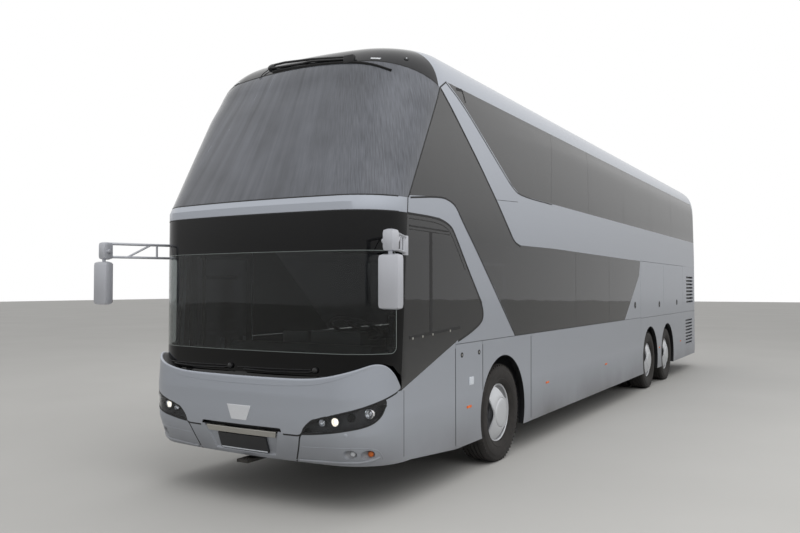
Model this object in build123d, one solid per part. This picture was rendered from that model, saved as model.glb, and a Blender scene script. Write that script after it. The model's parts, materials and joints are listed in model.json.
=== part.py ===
from build123d import *
import os
from math import sqrt

# Double-deck three-axle touring coach. Millimetres, +Z up, the front faces -Y,
# the driver's side is +X and the ground is Z = 0.

# Lengths along the coach, each one on from the last, starting at the nose
FRONT_Y = -6940
FRONT_OVERHANG = 2610
WHEELBASE = 6710
TAG_STEP = 1470
REAR_OVERHANG = 3270
FRONT_AXLE_Y = FRONT_Y + FRONT_OVERHANG
DRIVE_AXLE_Y = FRONT_AXLE_Y + WHEELBASE
TAG_AXLE_Y = DRIVE_AXLE_Y + TAG_STEP
REAR_Y = TAG_AXLE_Y + REAR_OVERHANG

# Heights of the side, each one on top of the last, starting at the skirt
SKIRT_Z = 310
PANEL_H = 980
WINDOW_H = 975
BAND_H = 565
UPPER_WINDOW_H = 870
ROOF_H = 360
PANEL_Z = SKIRT_Z + PANEL_H
BAND_LOW_Z = PANEL_Z + WINDOW_H
BAND_TOP_Z = BAND_LOW_Z + BAND_H
GUTTER_Z = BAND_TOP_Z + UPPER_WINDOW_H
ROOF_Z = GUTTER_Z + ROOF_H
FLAP_Z = PANEL_Z - 10

# Widths and gauges of the body
HALF_WIDTH = 1275
WALL = 60
PANE = 12
SEAM = 5
DOOR_GAP = 12
SEAT_GAP = 0.3

# Levels of the front
BUMPER_Z = 400
SCREEN_FOOT_Z = PANEL_Z - 310
FRONT_BAND_LOW_Z = BAND_LOW_Z + 165
FRONT_BAND_TOP_Z = BAND_LOW_Z + 290
WAIST_Z = BAND_LOW_Z + 235

# Wheels and tyres
WHEEL_R = 505
RIM_R = 290
TYRE_W = 290
TYRE_OUT_X = 1245
TWIN_GAP = 40
KINGPIN_X = 890
HUB_IN = 240
ARCH_R = 580
ARCH_Z = 525

# Seams along the side
CORNER_SEAM_Y = FRONT_Y + 510
NOSE_SEAM_Y = FRONT_Y + 1490
ARCH_SEAM_Y = FRONT_AXLE_Y - 530
ARCH_REAR_SEAM_Y = FRONT_AXLE_Y + 800
LUGGAGE_Y = DRIVE_AXLE_Y - 710
FLAP_SPLIT_Y = TAG_AXLE_Y - 320
ENGINE_SEAM_Y = TAG_AXLE_Y + 1610
REAR_SEAM_Y = REAR_Y - 215

# Decks
LOW_FLOOR_Z = 400
PLATFORM_Z = 760
HOLD_FLOOR_Z = FLAP_Z - 30
UPPER_FLOOR_Z = BAND_LOW_Z + 55
SLAB = 60
BOARD = 30
WHEELHOUSE_X = 540
WHEELHOUSE_Z = 1150
WHEELHOUSE_HALF = 690

# Frame
RAIL_X = 430
RAIL_W = 80
RAIL_LOW_Z = 280
TALL_RAIL_H = 140
PAD_H = 20
LUG_R = 22
LUG_Z = 345
LUG_THICK = 25

# Doors on the kerb side (-X), each on a crank
FRONT_DOOR_START = FRONT_Y + 620
FRONT_DOOR_W = 900
MIDDLE_DOOR_START = LUGGAGE_Y - 1030
MIDDLE_DOOR_W = 860
DOOR_TOP_Z = BAND_LOW_Z - 65
DOOR_ARM = 450
DOOR_PIVOT_IN = 80
DOOR_PIVOT_X = HALF_WIDTH - 165
DOOR_PIVOT_R = 18
DOOR_PIN_R = 10
PIN_GAP = 0.5

# Planes past the body's ends, sides and top, which cuts run out to
AHEAD = FRONT_Y - 460
BEHIND = REAR_Y + 280
REACH = HALF_WIDTH + 225
ABOVE = ROOF_Z + 540


def plan(z, front, rear, half, front_r, rear_r, crown, inset):
    """Plan outline of the body at one height, as eight lines and arcs."""
    front = front + inset
    rear = rear - inset
    half = half - inset
    front_r = front_r - inset
    rear_r = rear_r - inset
    crown = crown - inset
    rear_crown = 14000 - inset

    def corner(end_y, toward, radius, bow):
        centre_x = half - radius
        reach = sqrt((bow - radius) ** 2 - centre_x ** 2)
        bow_y = end_y + toward * bow
        centre_y = bow_y - toward * reach
        unit_x = centre_x / (bow - radius)
        unit_y = (centre_y - bow_y) / (bow - radius)
        tangent = (bow * unit_x, bow_y + bow * unit_y)
        mid_x = unit_x + 1
        mid_y = unit_y
        size = sqrt(mid_x ** 2 + mid_y ** 2)
        middle = (centre_x + radius * mid_x / size, centre_y + radius * mid_y / size)
        return tangent, middle, (half, centre_y)

    f_tan, f_mid, f_side = corner(front, 1, front_r, crown)
    r_tan, r_mid, r_side = corner(rear, -1, rear_r, rear_crown)

    def at(point, side=1):
        return (side * point[0], point[1], z)

    edges = [
        ThreePointArc(at(f_tan, -1), (0, front, z), at(f_tan)),
        ThreePointArc(at(f_tan), at(f_mid), at(f_side)),
        Line(at(f_side), at(r_side)),
        ThreePointArc(at(r_side), at(r_mid), at(r_tan)),
        ThreePointArc(at(r_tan), (0, rear, z), at(r_tan, -1)),
        ThreePointArc(at(r_tan, -1), at(r_mid, -1), at(r_side, -1)),
        Line(at(r_side, -1), at(f_side, -1)),
        ThreePointArc(at(f_side, -1), at(f_mid, -1), at(f_tan, -1)),
    ]
    return Wire(edges)


# height, front y, rear y, half width, front corner, rear corner, front crown,
# share of an inset taken sideways, share taken downwards
SHOULDER = (GUTTER_Z - 250, FRONT_Y + 550, REAR_Y - 25, HALF_WIDTH - 12, 530, 270, 5000, 1, 0.1)
LOWER_SECTIONS = [
    (SKIRT_Z - 10, FRONT_Y + 180, REAR_Y - 80, HALF_WIDTH, 460, 240, 7000, 1, 0),
    (SKIRT_Z + 110, FRONT_Y + 80, REAR_Y - 20, HALF_WIDTH, 450, 250, 7000, 1, 0),
    (SKIRT_Z + 330, FRONT_Y, REAR_Y, HALF_WIDTH, 430, 260, 7000, 1, 0),
    (SKIRT_Z + 640, FRONT_Y - 10, REAR_Y, HALF_WIDTH, 430, 260, 7000, 1, 0),
    (SKIRT_Z + 790, FRONT_Y + 90, REAR_Y, HALF_WIDTH, 450, 260, 7000, 1, 0),
    (WAIST_Z, FRONT_Y + 95, REAR_Y, HALF_WIDTH, 450, 260, 7000, 1, 0),
    SHOULDER,
]
UPPER_SECTIONS = [
    SHOULDER,
    (GUTTER_Z, FRONT_Y + 670, REAR_Y - 55, HALF_WIDTH - 35, 590, 280, 4500, 0.95, 0.3),
    (GUTTER_Z + 160, FRONT_Y + 760, REAR_Y - 110, HALF_WIDTH - 95, 590, 300, 4000, 0.85, 0.55),
    (ROOF_Z - 90, FRONT_Y + 880, REAR_Y - 200, HALF_WIDTH - 200, 560, 300, 3500, 0.65, 0.8),
    (ROOF_Z - 25, FRONT_Y + 1050, REAR_Y - 340, HALF_WIDTH - 350, 520, 300, 3000, 0.45, 0.95),
    (ROOF_Z, FRONT_Y + 1330, REAR_Y - 560, HALF_WIDTH - 560, 480, 300, 2500, 0.3, 1),
]


def body(inset):
    """The body's outside, or the same form brought in by a wall thickness."""
    parts = []
    for sections, ruled in ((LOWER_SECTIONS, True), (UPPER_SECTIONS, False)):
        wires = []
        for z, front, rear, half, front_r, rear_r, crown, side, down in sections:
            wires.append(plan(z - inset * down, front, rear, half, front_r, rear_r, crown, inset * side))
        parts.append(Solid.make_loft(wires, ruled))
    return parts[0] + parts[1]


def prism_x(points, x0, x1):
    """Solid from an outline in the Y-Z plane, from x0 to x1."""
    wire = Wire.make_polygon([(x0, y, z) for y, z in points], close=True)
    return Solid.extrude(Face(wire), Vector(x1 - x0, 0, 0))


def prism_y(points, y0, y1):
    """Solid from an outline in the X-Z plane, from y0 to y1."""
    wire = Wire.make_polygon([(x, y0, z) for x, z in points], close=True)
    return Solid.extrude(Face(wire), Vector(0, y1 - y0, 0))


def block(x0, x1, y0, y1, z0, z1):
    low = (min(x0, x1), min(y0, y1), min(z0, z1))
    size = (abs(x1 - x0), abs(y1 - y0), abs(z1 - z0))
    return Pos(*low) * Solid.make_box(*size)


def rod_x(radius, x0, x1, y, z):
    return Pos(min(x0, x1), y, z) * Rot(0, 90, 0) * Solid.make_cylinder(radius, abs(x1 - x0))


def rod_z(radius, x, y, z0, z1):
    return Pos(x, y, z0) * Solid.make_cylinder(radius, z1 - z0)


def spun(profile, y, side):
    """Turned piece about an axle line: profile points are (radius, distance in from the tyre's face)."""
    wire = Wire.make_polygon([(-inward, 0, radius) for radius, inward in profile], close=True)
    solid = Solid.revolve(Face(wire), 360, Axis((0, 0, 0), (1, 0, 0)))
    if side < 0:
        solid = solid.mirror(Plane.YZ)
    return Pos(side * TYRE_OUT_X, y, WHEEL_R) * solid


def side_prism(points, side):
    return prism_x(points, side * (HALF_WIDTH - 900), side * REACH)


def shifted(steps, y, z):
    """Outline points given as steps from one place."""
    return [(y + along_y, z + up) for along_y, up in steps]


def along(start, end, share):
    """Point part of the way from one point to another."""
    return (start[0] + (end[0] - start[0]) * share, start[1] + (end[1] - start[1]) * share)


nodes = {}


def keep(name, *shapes):
    """Notes a node's solids, without slivers."""
    solids = []
    for shape in shapes:
        solids.extend([s for s in shape.solids() if s.volume > 1000])
    nodes[name] = solids


outside = body(0)
wall_shell = outside - body(WALL)
pane_shell = outside - body(PANE)

# Side outlines in (y, z), shared by both sides
band_foot = (FRONT_Y + 608, FRONT_BAND_LOW_Z)
band_head = (FRONT_Y + 625, FRONT_BAND_TOP_Z)
screen_head = (FRONT_Y + 1235, GUTTER_Z - 85)
waist_front = (FRONT_AXLE_Y + 1560, BAND_LOW_Z + 20)
waist_rear = (LUGGAGE_Y - 840, BAND_LOW_Z)
nose_seam = NOSE_SEAM_Y - SEAM / 2
hoop_seam = NOSE_SEAM_Y + SEAM / 2
sill_foot = (CORNER_SEAM_Y, SCREEN_FOOT_Z)
sill_head = (nose_seam, PANEL_Z + 16)
dome_foot = (FRONT_Y + 1250, GUTTER_Z - 80)
dome_step = (FRONT_Y + 1274, GUTTER_Z)
dome_top_y = FRONT_Y + 1380

pillar_front = [dome_foot, (FRONT_Y + 1990, BAND_TOP_Z + 250), (FRONT_Y + 2460, BAND_TOP_Z - 120)]
pillar_front = pillar_front + shifted([(2930, 45), (3100, 10)], FRONT_Y, BAND_LOW_Z)
pillar_rear = shifted([(3110, 0), (2880, 80), (2520, 280)], FRONT_Y, BAND_TOP_Z)
pillar_rear = pillar_rear + shifted([(1690, -140), (1400, 0)], FRONT_Y, GUTTER_Z)
hoop_outer = [along(band_head, screen_head, 0.02)]
hoop_outer = hoop_outer + shifted([(1210, 355), (1390, 335), (1490, 300), (1620, 185), (1930, -75)],
                                  FRONT_Y, BAND_LOW_Z)
hoop_outer = hoop_outer + shifted([(2370, 520), (2800, 130), (2940, 0)], FRONT_Y, PANEL_Z)
hoop_inner = [band_head, band_foot, (FRONT_Y + 1170, FRONT_BAND_LOW_Z)]
hoop_inner = hoop_inner + shifted([(1390, 115), (1470, 55), (1750, -265)], FRONT_Y, BAND_LOW_Z)
hoop_inner = hoop_inner + shifted([(2070, 380), (2110, 260), (2060, 180), (1790, 95), (1540, 35)],
                                  FRONT_Y, PANEL_Z)
glass_rear = [(LUGGAGE_Y - 10, BAND_LOW_Z), (LUGGAGE_Y - 90, BAND_LOW_Z - 255), (LUGGAGE_Y - 1070, PANEL_Z)]
screen_top = [screen_head, (FRONT_Y + 640, GUTTER_Z + 200), (AHEAD, GUTTER_Z + 727)]

band = pillar_front + [waist_front, waist_rear, (REAR_SEAM_Y, BAND_LOW_Z), (REAR_SEAM_Y, BAND_TOP_Z)]
band = band + pillar_rear + [dome_step]
window_foot = (REAR_Y - 90, BAND_TOP_Z)
window_head = (REAR_Y - 470, GUTTER_Z)
upper_pane = [pillar_rear[0], window_foot, window_head] + pillar_rear[:0:-1]
lower_pane = [screen_head] + pillar_front + [waist_front, waist_rear] + glass_rear + hoop_outer[::-1]
driver_pane = hoop_inner[1:] + [sill_head, sill_foot]
sill_rear = hoop_inner[-1]
hoop_sill = along(sill_rear, sill_head, (sill_rear[0] - hoop_seam) / (sill_rear[0] - nose_seam))
hoop = hoop_outer + [(hoop_seam, PANEL_Z), hoop_sill] + hoop_inner[::-1]
door_front = FRONT_DOOR_START - DOOR_GAP
door_rear = FRONT_DOOR_START + FRONT_DOOR_W + DOOR_GAP
door_head = DOOR_TOP_Z + DOOR_GAP
door_hoop = hoop_outer + [(door_rear, PANEL_Z), (door_rear, door_head), (door_front, door_head)]
door_hoop = door_hoop + [band_foot, band_head]
post_foot = along(sill_foot, sill_head, (door_front - CORNER_SEAM_Y) / (nose_seam - CORNER_SEAM_Y))
door_post = [sill_foot, post_foot, (door_front, door_head), band_foot]
middle_front = MIDDLE_DOOR_START - DOOR_GAP
middle_rear = MIDDLE_DOOR_START + MIDDLE_DOOR_W + DOOR_GAP

# Front outlines on the driver's side, as steps in x from the side and in z from the screen's foot
LAMP_TOP = [(-665, -330), (-635, -240), (-555, -190), (-375, -165), (-175, -100), (-75, -43), (25, 18)]
LAMP_LOW = [(-25, -100), (-50, -180), (-105, -240), (-225, -280), (-445, -318)]
NOSE_TOP = [(25, 30), (-7, 120), (-30, 200), (-75, 225), (-145, 191), (-405, 108), (-775, 90)]
lamp_top = shifted(LAMP_TOP, HALF_WIDTH, SCREEN_FOOT_Z)
lamp_low = shifted(LAMP_LOW, HALF_WIDTH, SCREEN_FOOT_Z)
nose_top = shifted(NOSE_TOP, HALF_WIDTH, SCREEN_FOOT_Z)


def both_sides(points):
    """Outline carried over to the other side of the middle."""
    return points + [(-x, z) for x, z in points[::-1]]


arches = None
for y in (FRONT_AXLE_Y, DRIVE_AXLE_Y, TAG_AXLE_Y):
    arch = rod_x(ARCH_R, -REACH, REACH, y, ARCH_Z)
    arches = arch if arches is None else arches + arch


def panel(y0, y1, z0, z1):
    """A plain rectangular stretch of side, with half a seam taken off along its length."""
    half = SEAM / 2
    return [(y0 + half, z0), (y1 - half, z0), (y1 - half, z1), (y0 + half, z1)]


# Posts behind the upper glass, and grilles: front y, rear y, low z, high z
POST_COUNT = 6
POST_START = FRONT_AXLE_Y + 1030
POST_PITCH = 1700
POST = 60
POST_BACK = 45
GRILLES = [
    (REAR_Y - 1300, REAR_Y - 450, FLAP_Z + 150, FLAP_Z + 800),
    (REAR_Y - 1420, REAR_Y - 570, SKIRT_Z + 230, SKIRT_Z + 830),
]
half_pane_y = LUGGAGE_Y - SEAM / 2
for side, name in ((1, "left"), (-1, "right")):
    # Silver band between the decks, with its slanted pillar and the posts behind the glass
    shape = wall_shell & side_prism(band, side)
    inner_x = side * (HALF_WIDTH - WALL)
    post_x = side * (HALF_WIDTH - PANE - POST_BACK)
    for number in range(POST_COUNT):
        y = POST_START + number * POST_PITCH
        shape = shape + block(inner_x, post_x, y, y + POST, BAND_TOP_Z - 40, GUTTER_Z)
    keep("side_upper_" + name, shape)
    # Lower panels, one solid to each real panel
    if side > 0:
        runs = [(ARCH_SEAM_Y, ARCH_REAR_SEAM_Y), (ARCH_REAR_SEAM_Y, LUGGAGE_Y)]
        panels = [hoop]
    else:
        runs = [(door_rear, ARCH_REAR_SEAM_Y), (ARCH_REAR_SEAM_Y, middle_front), (middle_rear, LUGGAGE_Y)]
        panels = [door_hoop, door_post]
    for y0, y1 in runs:
        panels.append(panel(y0, y1, SKIRT_Z, PANEL_Z - SEAM))
    panels.append(panel(LUGGAGE_Y, REAR_SEAM_Y, SKIRT_Z, FLAP_Z - SEAM))
    panels.append(panel(ENGINE_SEAM_Y, REAR_SEAM_Y, FLAP_Z, BAND_LOW_Z - 1))
    if side > 0:
        panels.append([glass_rear[2], (half_pane_y, PANEL_Z), (half_pane_y, BAND_LOW_Z - 1)] + glass_rear[:-1])
    holes = arches
    for y0, y1, z0, z1 in GRILLES:
        holes = holes + block(side * (HALF_WIDTH - 375), side * REACH, y0, y1, z0, z1)
    keep("side_lower_" + name, *[(wall_shell & side_prism(outline, side)) - holes for outline in panels])
    # Glass, flush with the skin
    if side > 0:
        panes = [upper_pane, lower_pane, driver_pane]
    else:
        share = (middle_front - waist_front[0]) / (waist_rear[0] - waist_front[0])
        front_piece = [screen_head] + pillar_front + [waist_front, along(waist_front, waist_rear, share)]
        front_piece = front_piece + [(middle_front, PANEL_Z)] + hoop_outer[::-1]
        panes = [upper_pane, front_piece]
    keep("glass_" + name, *[pane_shell & side_prism(outline, side) for outline in panes])

# Nose panel and bumper, with the headlamps let into the bumper's upper corners
nose_outline = both_sides(lamp_top + nose_top)
keep("front_panel", wall_shell & prism_y(nose_outline, AHEAD, CORNER_SEAM_Y))
bumper_side = [(AHEAD, BUMPER_Z), (FRONT_Y + 640, BUMPER_Z), (nose_seam, SKIRT_Z + 20)]
bumper_side = bumper_side + [sill_head, sill_foot, (AHEAD, SCREEN_FOOT_Z)]
above_bumper = [(x, z - SEAM) for x, z in lamp_top] + [(REACH, SCREEN_FOOT_Z + 80), (REACH, PANEL_Z + 110)]
bumper = wall_shell & prism_x(bumper_side, -REACH, REACH)
bumper = bumper - prism_y(both_sides(above_bumper), AHEAD, CORNER_SEAM_Y)
bumper = bumper - block(-REACH, 0, door_front, 0, 0, PANEL_Z + 110)
lamps = []
for side in (1, -1):
    outline = [(side * x, z) for x, z in lamp_top[:-1] + lamp_low]
    lamp_space = prism_y(outline, AHEAD, CORNER_SEAM_Y + 40)
    lamps.append(wall_shell & lamp_space)
    bumper = bumper - lamp_space
keep("front_bumper", bumper)
keep("headlamps", *lamps)

# The two screens, the band between them and the dome over them
screen = [(AHEAD, SCREEN_FOOT_Z), sill_foot, band_foot, (AHEAD, FRONT_BAND_LOW_Z)]
over_nose = both_sides([(REACH, 0), (REACH, nose_top[0][1])] + nose_top)
lower_screen = pane_shell & prism_x(screen, -REACH, REACH)
keep("windscreen_lower", lower_screen - prism_y(over_nose, AHEAD, CORNER_SEAM_Y))
screen = [(AHEAD, FRONT_BAND_LOW_Z), band_foot, band_head, (AHEAD, FRONT_BAND_TOP_Z)]
keep("front_band", wall_shell & prism_x(screen, -REACH, REACH))
screen = [(AHEAD, FRONT_BAND_TOP_Z), band_head] + screen_top
keep("windscreen_upper", pane_shell & prism_x(screen, -REACH, REACH))
dome = screen_top + [(AHEAD, ABOVE), (dome_top_y, ABOVE), (dome_top_y, ROOF_Z), dome_step, dome_foot]
keep("front_dome", wall_shell & prism_x(dome, -REACH, REACH))
top = [dome_step, (dome_top_y, ROOF_Z), (dome_top_y, ABOVE), (BEHIND, ABOVE), (BEHIND, GUTTER_Z)]
keep("roof", wall_shell & prism_x(top, -REACH, REACH))

# Wipers lie on the screens: two parked at the foot of the lower one, one along the top of the upper one
WIPER_H = 28
LOWER_WIPER = [(720, 140), (720, 180), (660, 180), (640, 155), (-110, 150), (-110, 130), (640, 130)]
LOWER_WIPER_STEP = 880
UPPER_WIPER = [(-420, 170), (-420, 250), (-330, 265), (-300, 210), (540, 165), (990, 25), (985, 5), (510, 135),
               (-330, 180)]
over_glass = body(-WIPER_H) - body(-SEAT_GAP)
wipers = []
for shift in (0, -LOWER_WIPER_STEP):
    outline = [(x + shift, SCREEN_FOOT_Z + z) for x, z in LOWER_WIPER]
    wipers.append(over_glass & prism_y(outline, AHEAD, CORNER_SEAM_Y))
outline = [(x, GUTTER_Z + z) for x, z in UPPER_WIPER]
wipers.append(over_glass & prism_y(outline, AHEAD, FRONT_Y + 1300))
keep("wipers", *wipers)

# Rear wall with its window, lamps and engine lid
WINDOW_HALF = HALF_WIDTH - 335
LID_HALF = HALF_WIDTH - 415
LID_LOW_Z = BUMPER_Z + 240
LID_TOP_Z = BAND_LOW_Z - 85
TAIL_X = (HALF_WIDTH - 315, HALF_WIDTH - 125)
TAIL_Z = (860, 1720)
REAR_FOOT_Z = BUMPER_Z - 20
REAR_IN_Y = REAR_Y - 420
LID_PAD_X = 600
wall_y = REAR_SEAM_Y + SEAM / 2
wall = [(wall_y, REAR_FOOT_Z), (wall_y, BAND_TOP_Z), window_foot, window_head, (BEHIND, GUTTER_Z),
        (BEHIND, REAR_FOOT_Z)]
rear_wall = wall_shell & prism_x(wall, -REACH, REACH)
rear_window = block(-WINDOW_HALF, WINDOW_HALF, REAR_IN_Y, BEHIND, BAND_TOP_Z + 50, GUTTER_Z - 140)
keep("rear_window", pane_shell & rear_window)
lid_half = LID_HALF + SEAM
rear_wall = rear_wall - rear_window
rear_wall = rear_wall - block(-lid_half, lid_half, REAR_IN_Y, BEHIND, LID_LOW_Z - SEAM, LID_TOP_Z + SEAM)
keep("engine_lid", wall_shell & block(-LID_HALF, LID_HALF, REAR_IN_Y, BEHIND, LID_LOW_Z, LID_TOP_Z))
tails = []
for side in (1, -1):
    box = block(side * TAIL_X[0], side * TAIL_X[1], REAR_IN_Y, BEHIND, *TAIL_Z)
    tails.append(wall_shell & box)
    rear_wall = rear_wall - box
keep("tail_lamps", *tails)
for x in (-LID_PAD_X, LID_PAD_X):
    rear_wall = rear_wall + block(x - 60, x + 60, REAR_Y - 50, REAR_Y - 20, LID_TOP_Z + SEAT_GAP,
                                  LID_TOP_Z + SEAM + 1)
keep("rear_wall", rear_wall)

# Grilles: a frame with level slots
GRILLE_DEPTH = 40
GRILLE_EDGE = 40
GRILLE_SLOTS = 8
GRILLE_BAR = 35
grilles = []
for side in (1, -1):
    for y0, y1, z0, z1 in GRILLES:
        grille = block(side * (HALF_WIDTH - GRILLE_DEPTH), side * HALF_WIDTH, y0, y1, z0, z1)
        pitch = (z1 - z0 - GRILLE_EDGE) / GRILLE_SLOTS
        for row in range(GRILLE_SLOTS):
            z = z0 + GRILLE_EDGE + row * pitch
            grille = grille - block(side * (HALF_WIDTH - 375), side * REACH, y0 + GRILLE_EDGE, y1 - GRILLE_EDGE,
                                    z, z + pitch - GRILLE_BAR)
        grilles.append(grille)
keep("grilles", *grilles)

# Frame members, each a straight piece seated against the next: tall rails over the front axle and over
# the rear axles, low rails under the lower floor, cross members, jacking pads and tow lugs
RAIL_IN = RAIL_X - RAIL_W / 2
RAIL_OUT = RAIL_X + RAIL_W / 2
front_rail_z = PLATFORM_Z - SLAB - SEAT_GAP
rear_rail_z = HOLD_FLOOR_Z - SLAB - SEAT_GAP
DROP_Y = FRONT_AXLE_Y + 540
DROP_L = 100
RISER_Y = LUGGAGE_Y - 40
RISER_L = 80
members = []
for side in (1, -1):
    inner = side * RAIL_IN
    outer = side * RAIL_OUT
    members.append(block(inner, outer, FRONT_Y + 340, DROP_Y - SEAT_GAP, front_rail_z - TALL_RAIL_H, front_rail_z))
    members.append(block(inner, outer, DROP_Y, DROP_Y + DROP_L, RAIL_LOW_Z, front_rail_z))
    members.append(block(inner, outer, DROP_Y + DROP_L + SEAT_GAP, RISER_Y - SEAT_GAP, RAIL_LOW_Z,
                         LOW_FLOOR_Z - SLAB - SEAT_GAP))
    members.append(block(inner, outer, RISER_Y, RISER_Y + RISER_L, RAIL_LOW_Z, rear_rail_z))
    members.append(block(inner, outer, RISER_Y + RISER_L + SEAT_GAP, REAR_Y - 220, rear_rail_z - TALL_RAIL_H,
                         rear_rail_z))
    for y in (FRONT_AXLE_Y + 930, LUGGAGE_Y - 270):
        pad_x = side * RAIL_X
        pad_z = RAIL_LOW_Z - SEAT_GAP
        members.append(block(pad_x - 60, pad_x + 60, y - 60, y + 60, pad_z - PAD_H, pad_z))
cross_x = RAIL_IN - SEAT_GAP
LOW_CROSS = (RAIL_LOW_Z + 5, RAIL_LOW_Z + 55)
FRONT_CROSS = (front_rail_z - 130, front_rail_z - 10)
REAR_CROSS = (rear_rail_z - 130, rear_rail_z - 10)
CROSS_MEMBERS = [
    (FRONT_Y + 340, FRONT_CROSS),
    (FRONT_Y + 1640, FRONT_CROSS),
    (FRONT_AXLE_Y + 450, FRONT_CROSS),
    (FRONT_AXLE_Y + 2330, LOW_CROSS),
    (FRONT_AXLE_Y + 4330, LOW_CROSS),
    (LUGGAGE_Y - 130, LOW_CROSS),
    (TAG_AXLE_Y - 750, REAR_CROSS),
    (TAG_AXLE_Y + 1050, REAR_CROSS),
    (REAR_Y - 300, REAR_CROSS),
]
for y, heights in CROSS_MEMBERS:
    members.append(block(-cross_x, cross_x, y, y + 80, *heights))
for y0, y1, post_y, eye_y, post_z in (
    (FRONT_Y + 40, FRONT_Y + 420, FRONT_Y + 340, FRONT_Y + 90, FRONT_CROSS[0]),
    (REAR_Y - 300, REAR_Y - 40, REAR_Y - 300, REAR_Y - 90, REAR_CROSS[0]),
):
    lug = block(-60, 60, y0, y1, LUG_Z, LUG_Z + LUG_THICK)
    lug = lug + block(-60, 60, post_y, post_y + 80, LUG_Z, post_z - SEAT_GAP)
    members.append(lug - rod_z(LUG_R, 0, eye_y, LUG_Z - 5, LUG_Z + LUG_THICK + 5))
keep("chassis_frame", *members)

# Lower floor, built of flat boards: the low deck, the raised platform at the front with the door's well,
# the boxes over the front wheels, the bulkhead of the luggage space, its floor and its rear wall
INNER = HALF_WIDTH - WALL - SEAT_GAP
WELL_X = HALF_WIDTH - 755
WELL_FRONT = FRONT_Y + 540
WELL_REAR = FRONT_DOOR_START + FRONT_DOOR_W + 20
HOUSE_FRONT = FRONT_AXLE_Y - WHEELHOUSE_HALF
HOUSE_REAR = FRONT_AXLE_Y + WHEELHOUSE_HALF
HOUSE_IN = WHEELHOUSE_X - BOARD
BULKHEAD_Y = LUGGAGE_Y - 80
BULKHEAD_REAR = RISER_Y - 3


def deck(z0, z1, x0, x1, y0, y1):
    """Board that fills the body's plan between two lines across and two lines along."""
    outline = plan(z0, FRONT_Y + 95, REAR_Y, HALF_WIDTH, 450, 260, 7000, WALL + SEAT_GAP)
    return Solid.extrude(Face(outline), Vector(0, 0, z1 - z0)) & block(x0, x1, y0, y1, z0, z1)


platform_low = PLATFORM_Z - SLAB
platform_rear = HOUSE_FRONT - BOARD - SEAT_GAP
hold_low = HOLD_FLOOR_Z - SLAB
boards = [
    block(-INNER, INNER, HOUSE_REAR, BULKHEAD_REAR, LOW_FLOOR_Z - SLAB, LOW_FLOOR_Z),
    block(-HOUSE_IN + SEAT_GAP, HOUSE_IN - SEAT_GAP, HOUSE_REAR, HOUSE_REAR + BOARD, LOW_FLOOR_Z + SEAT_GAP,
          platform_low - SEAT_GAP),
    block(-HOUSE_IN + SEAT_GAP, HOUSE_IN - SEAT_GAP, platform_rear + SEAT_GAP, HOUSE_REAR + BOARD, platform_low,
          PLATFORM_Z),
    deck(platform_low, PLATFORM_Z, -WELL_X, REACH, AHEAD, platform_rear),
    deck(platform_low, PLATFORM_Z, -REACH, -WELL_X - SEAT_GAP, AHEAD, WELL_FRONT),
    deck(platform_low, PLATFORM_Z, -REACH, -WELL_X - SEAT_GAP, WELL_REAR, platform_rear),
    block(-INNER, INNER, BULKHEAD_Y, BULKHEAD_REAR, LOW_FLOOR_Z + SEAT_GAP, HOLD_FLOOR_Z),
    block(-INNER, INNER, BULKHEAD_REAR + SEAT_GAP, ENGINE_SEAM_Y, hold_low, HOLD_FLOOR_Z),
    block(-INNER, INNER, ENGINE_SEAM_Y - 40, ENGINE_SEAM_Y, HOLD_FLOOR_Z + SEAT_GAP,
          UPPER_FLOOR_Z - SLAB - SEAT_GAP),
]
for side in (1, -1):
    box_in = side * HOUSE_IN
    box_out = side * INNER
    boards.append(block(box_in, side * WHEELHOUSE_X, HOUSE_FRONT + SEAT_GAP, HOUSE_REAR - SEAT_GAP,
                        platform_low - 240, WHEELHOUSE_Z - SEAT_GAP))
    boards.append(block(box_in, box_out, HOUSE_FRONT + SEAT_GAP, HOUSE_REAR - SEAT_GAP, WHEELHOUSE_Z,
                        WHEELHOUSE_Z + BOARD))
    boards.append(block(box_in, box_out, HOUSE_FRONT - BOARD, HOUSE_FRONT, platform_low, WHEELHOUSE_Z + BOARD))
    boards.append(block(box_in, box_out, HOUSE_REAR, HOUSE_REAR + BOARD, LOW_FLOOR_Z + SEAT_GAP,
                        WHEELHOUSE_Z + BOARD))
keep("floor_lower", *boards)

# Steps at the front door, and the staircase beside the middle door
STEP_FRONT = FRONT_Y + 640
STEP_REAR = FRONT_DOOR_START + FRONT_DOOR_W
STEPS = [(HALF_WIDTH - 85, 420, 460), (HALF_WIDTH - 315, 460, 580), (HALF_WIDTH - 535, 580, PLATFORM_Z)]
well_edge = -WELL_X - SEAT_GAP
steps = None
for out_x, z0, z1 in STEPS:
    step = block(-out_x, well_edge, STEP_FRONT, STEP_REAR, z0, z1)
    steps = step if steps is None else steps + step
STAIR_X = (95 - HALF_WIDTH, 715 - HALF_WIDTH)
STAIR_FOOT = LUGGAGE_Y - 1110
STAIR_RISES = 8
STAIR_GO = 240
stair_rise = (UPPER_FLOOR_Z - LOW_FLOOR_Z) / STAIR_RISES
stair_z = LOW_FLOOR_Z + SEAT_GAP
stair = [(STAIR_FOOT, stair_z)]
for number in range(1, STAIR_RISES):
    stair.append((STAIR_FOOT - (number - 1) * STAIR_GO, LOW_FLOOR_Z + number * stair_rise))
    stair.append((STAIR_FOOT - number * STAIR_GO, LOW_FLOOR_Z + number * stair_rise))
stair_head = STAIR_FOOT - (STAIR_RISES - 1) * STAIR_GO
stair.append((stair_head, LOW_FLOOR_Z + (STAIR_RISES - 1) * stair_rise - 60))
stair.append((STAIR_FOOT - 300, stair_z))
keep("stairs", steps, prism_x(stair, *STAIR_X))
hole_rear = STAIR_FOOT - 2 * STAIR_GO
upper = deck(UPPER_FLOOR_Z - SLAB, UPPER_FLOOR_Z, -REACH, REACH, AHEAD, BEHIND)
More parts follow.
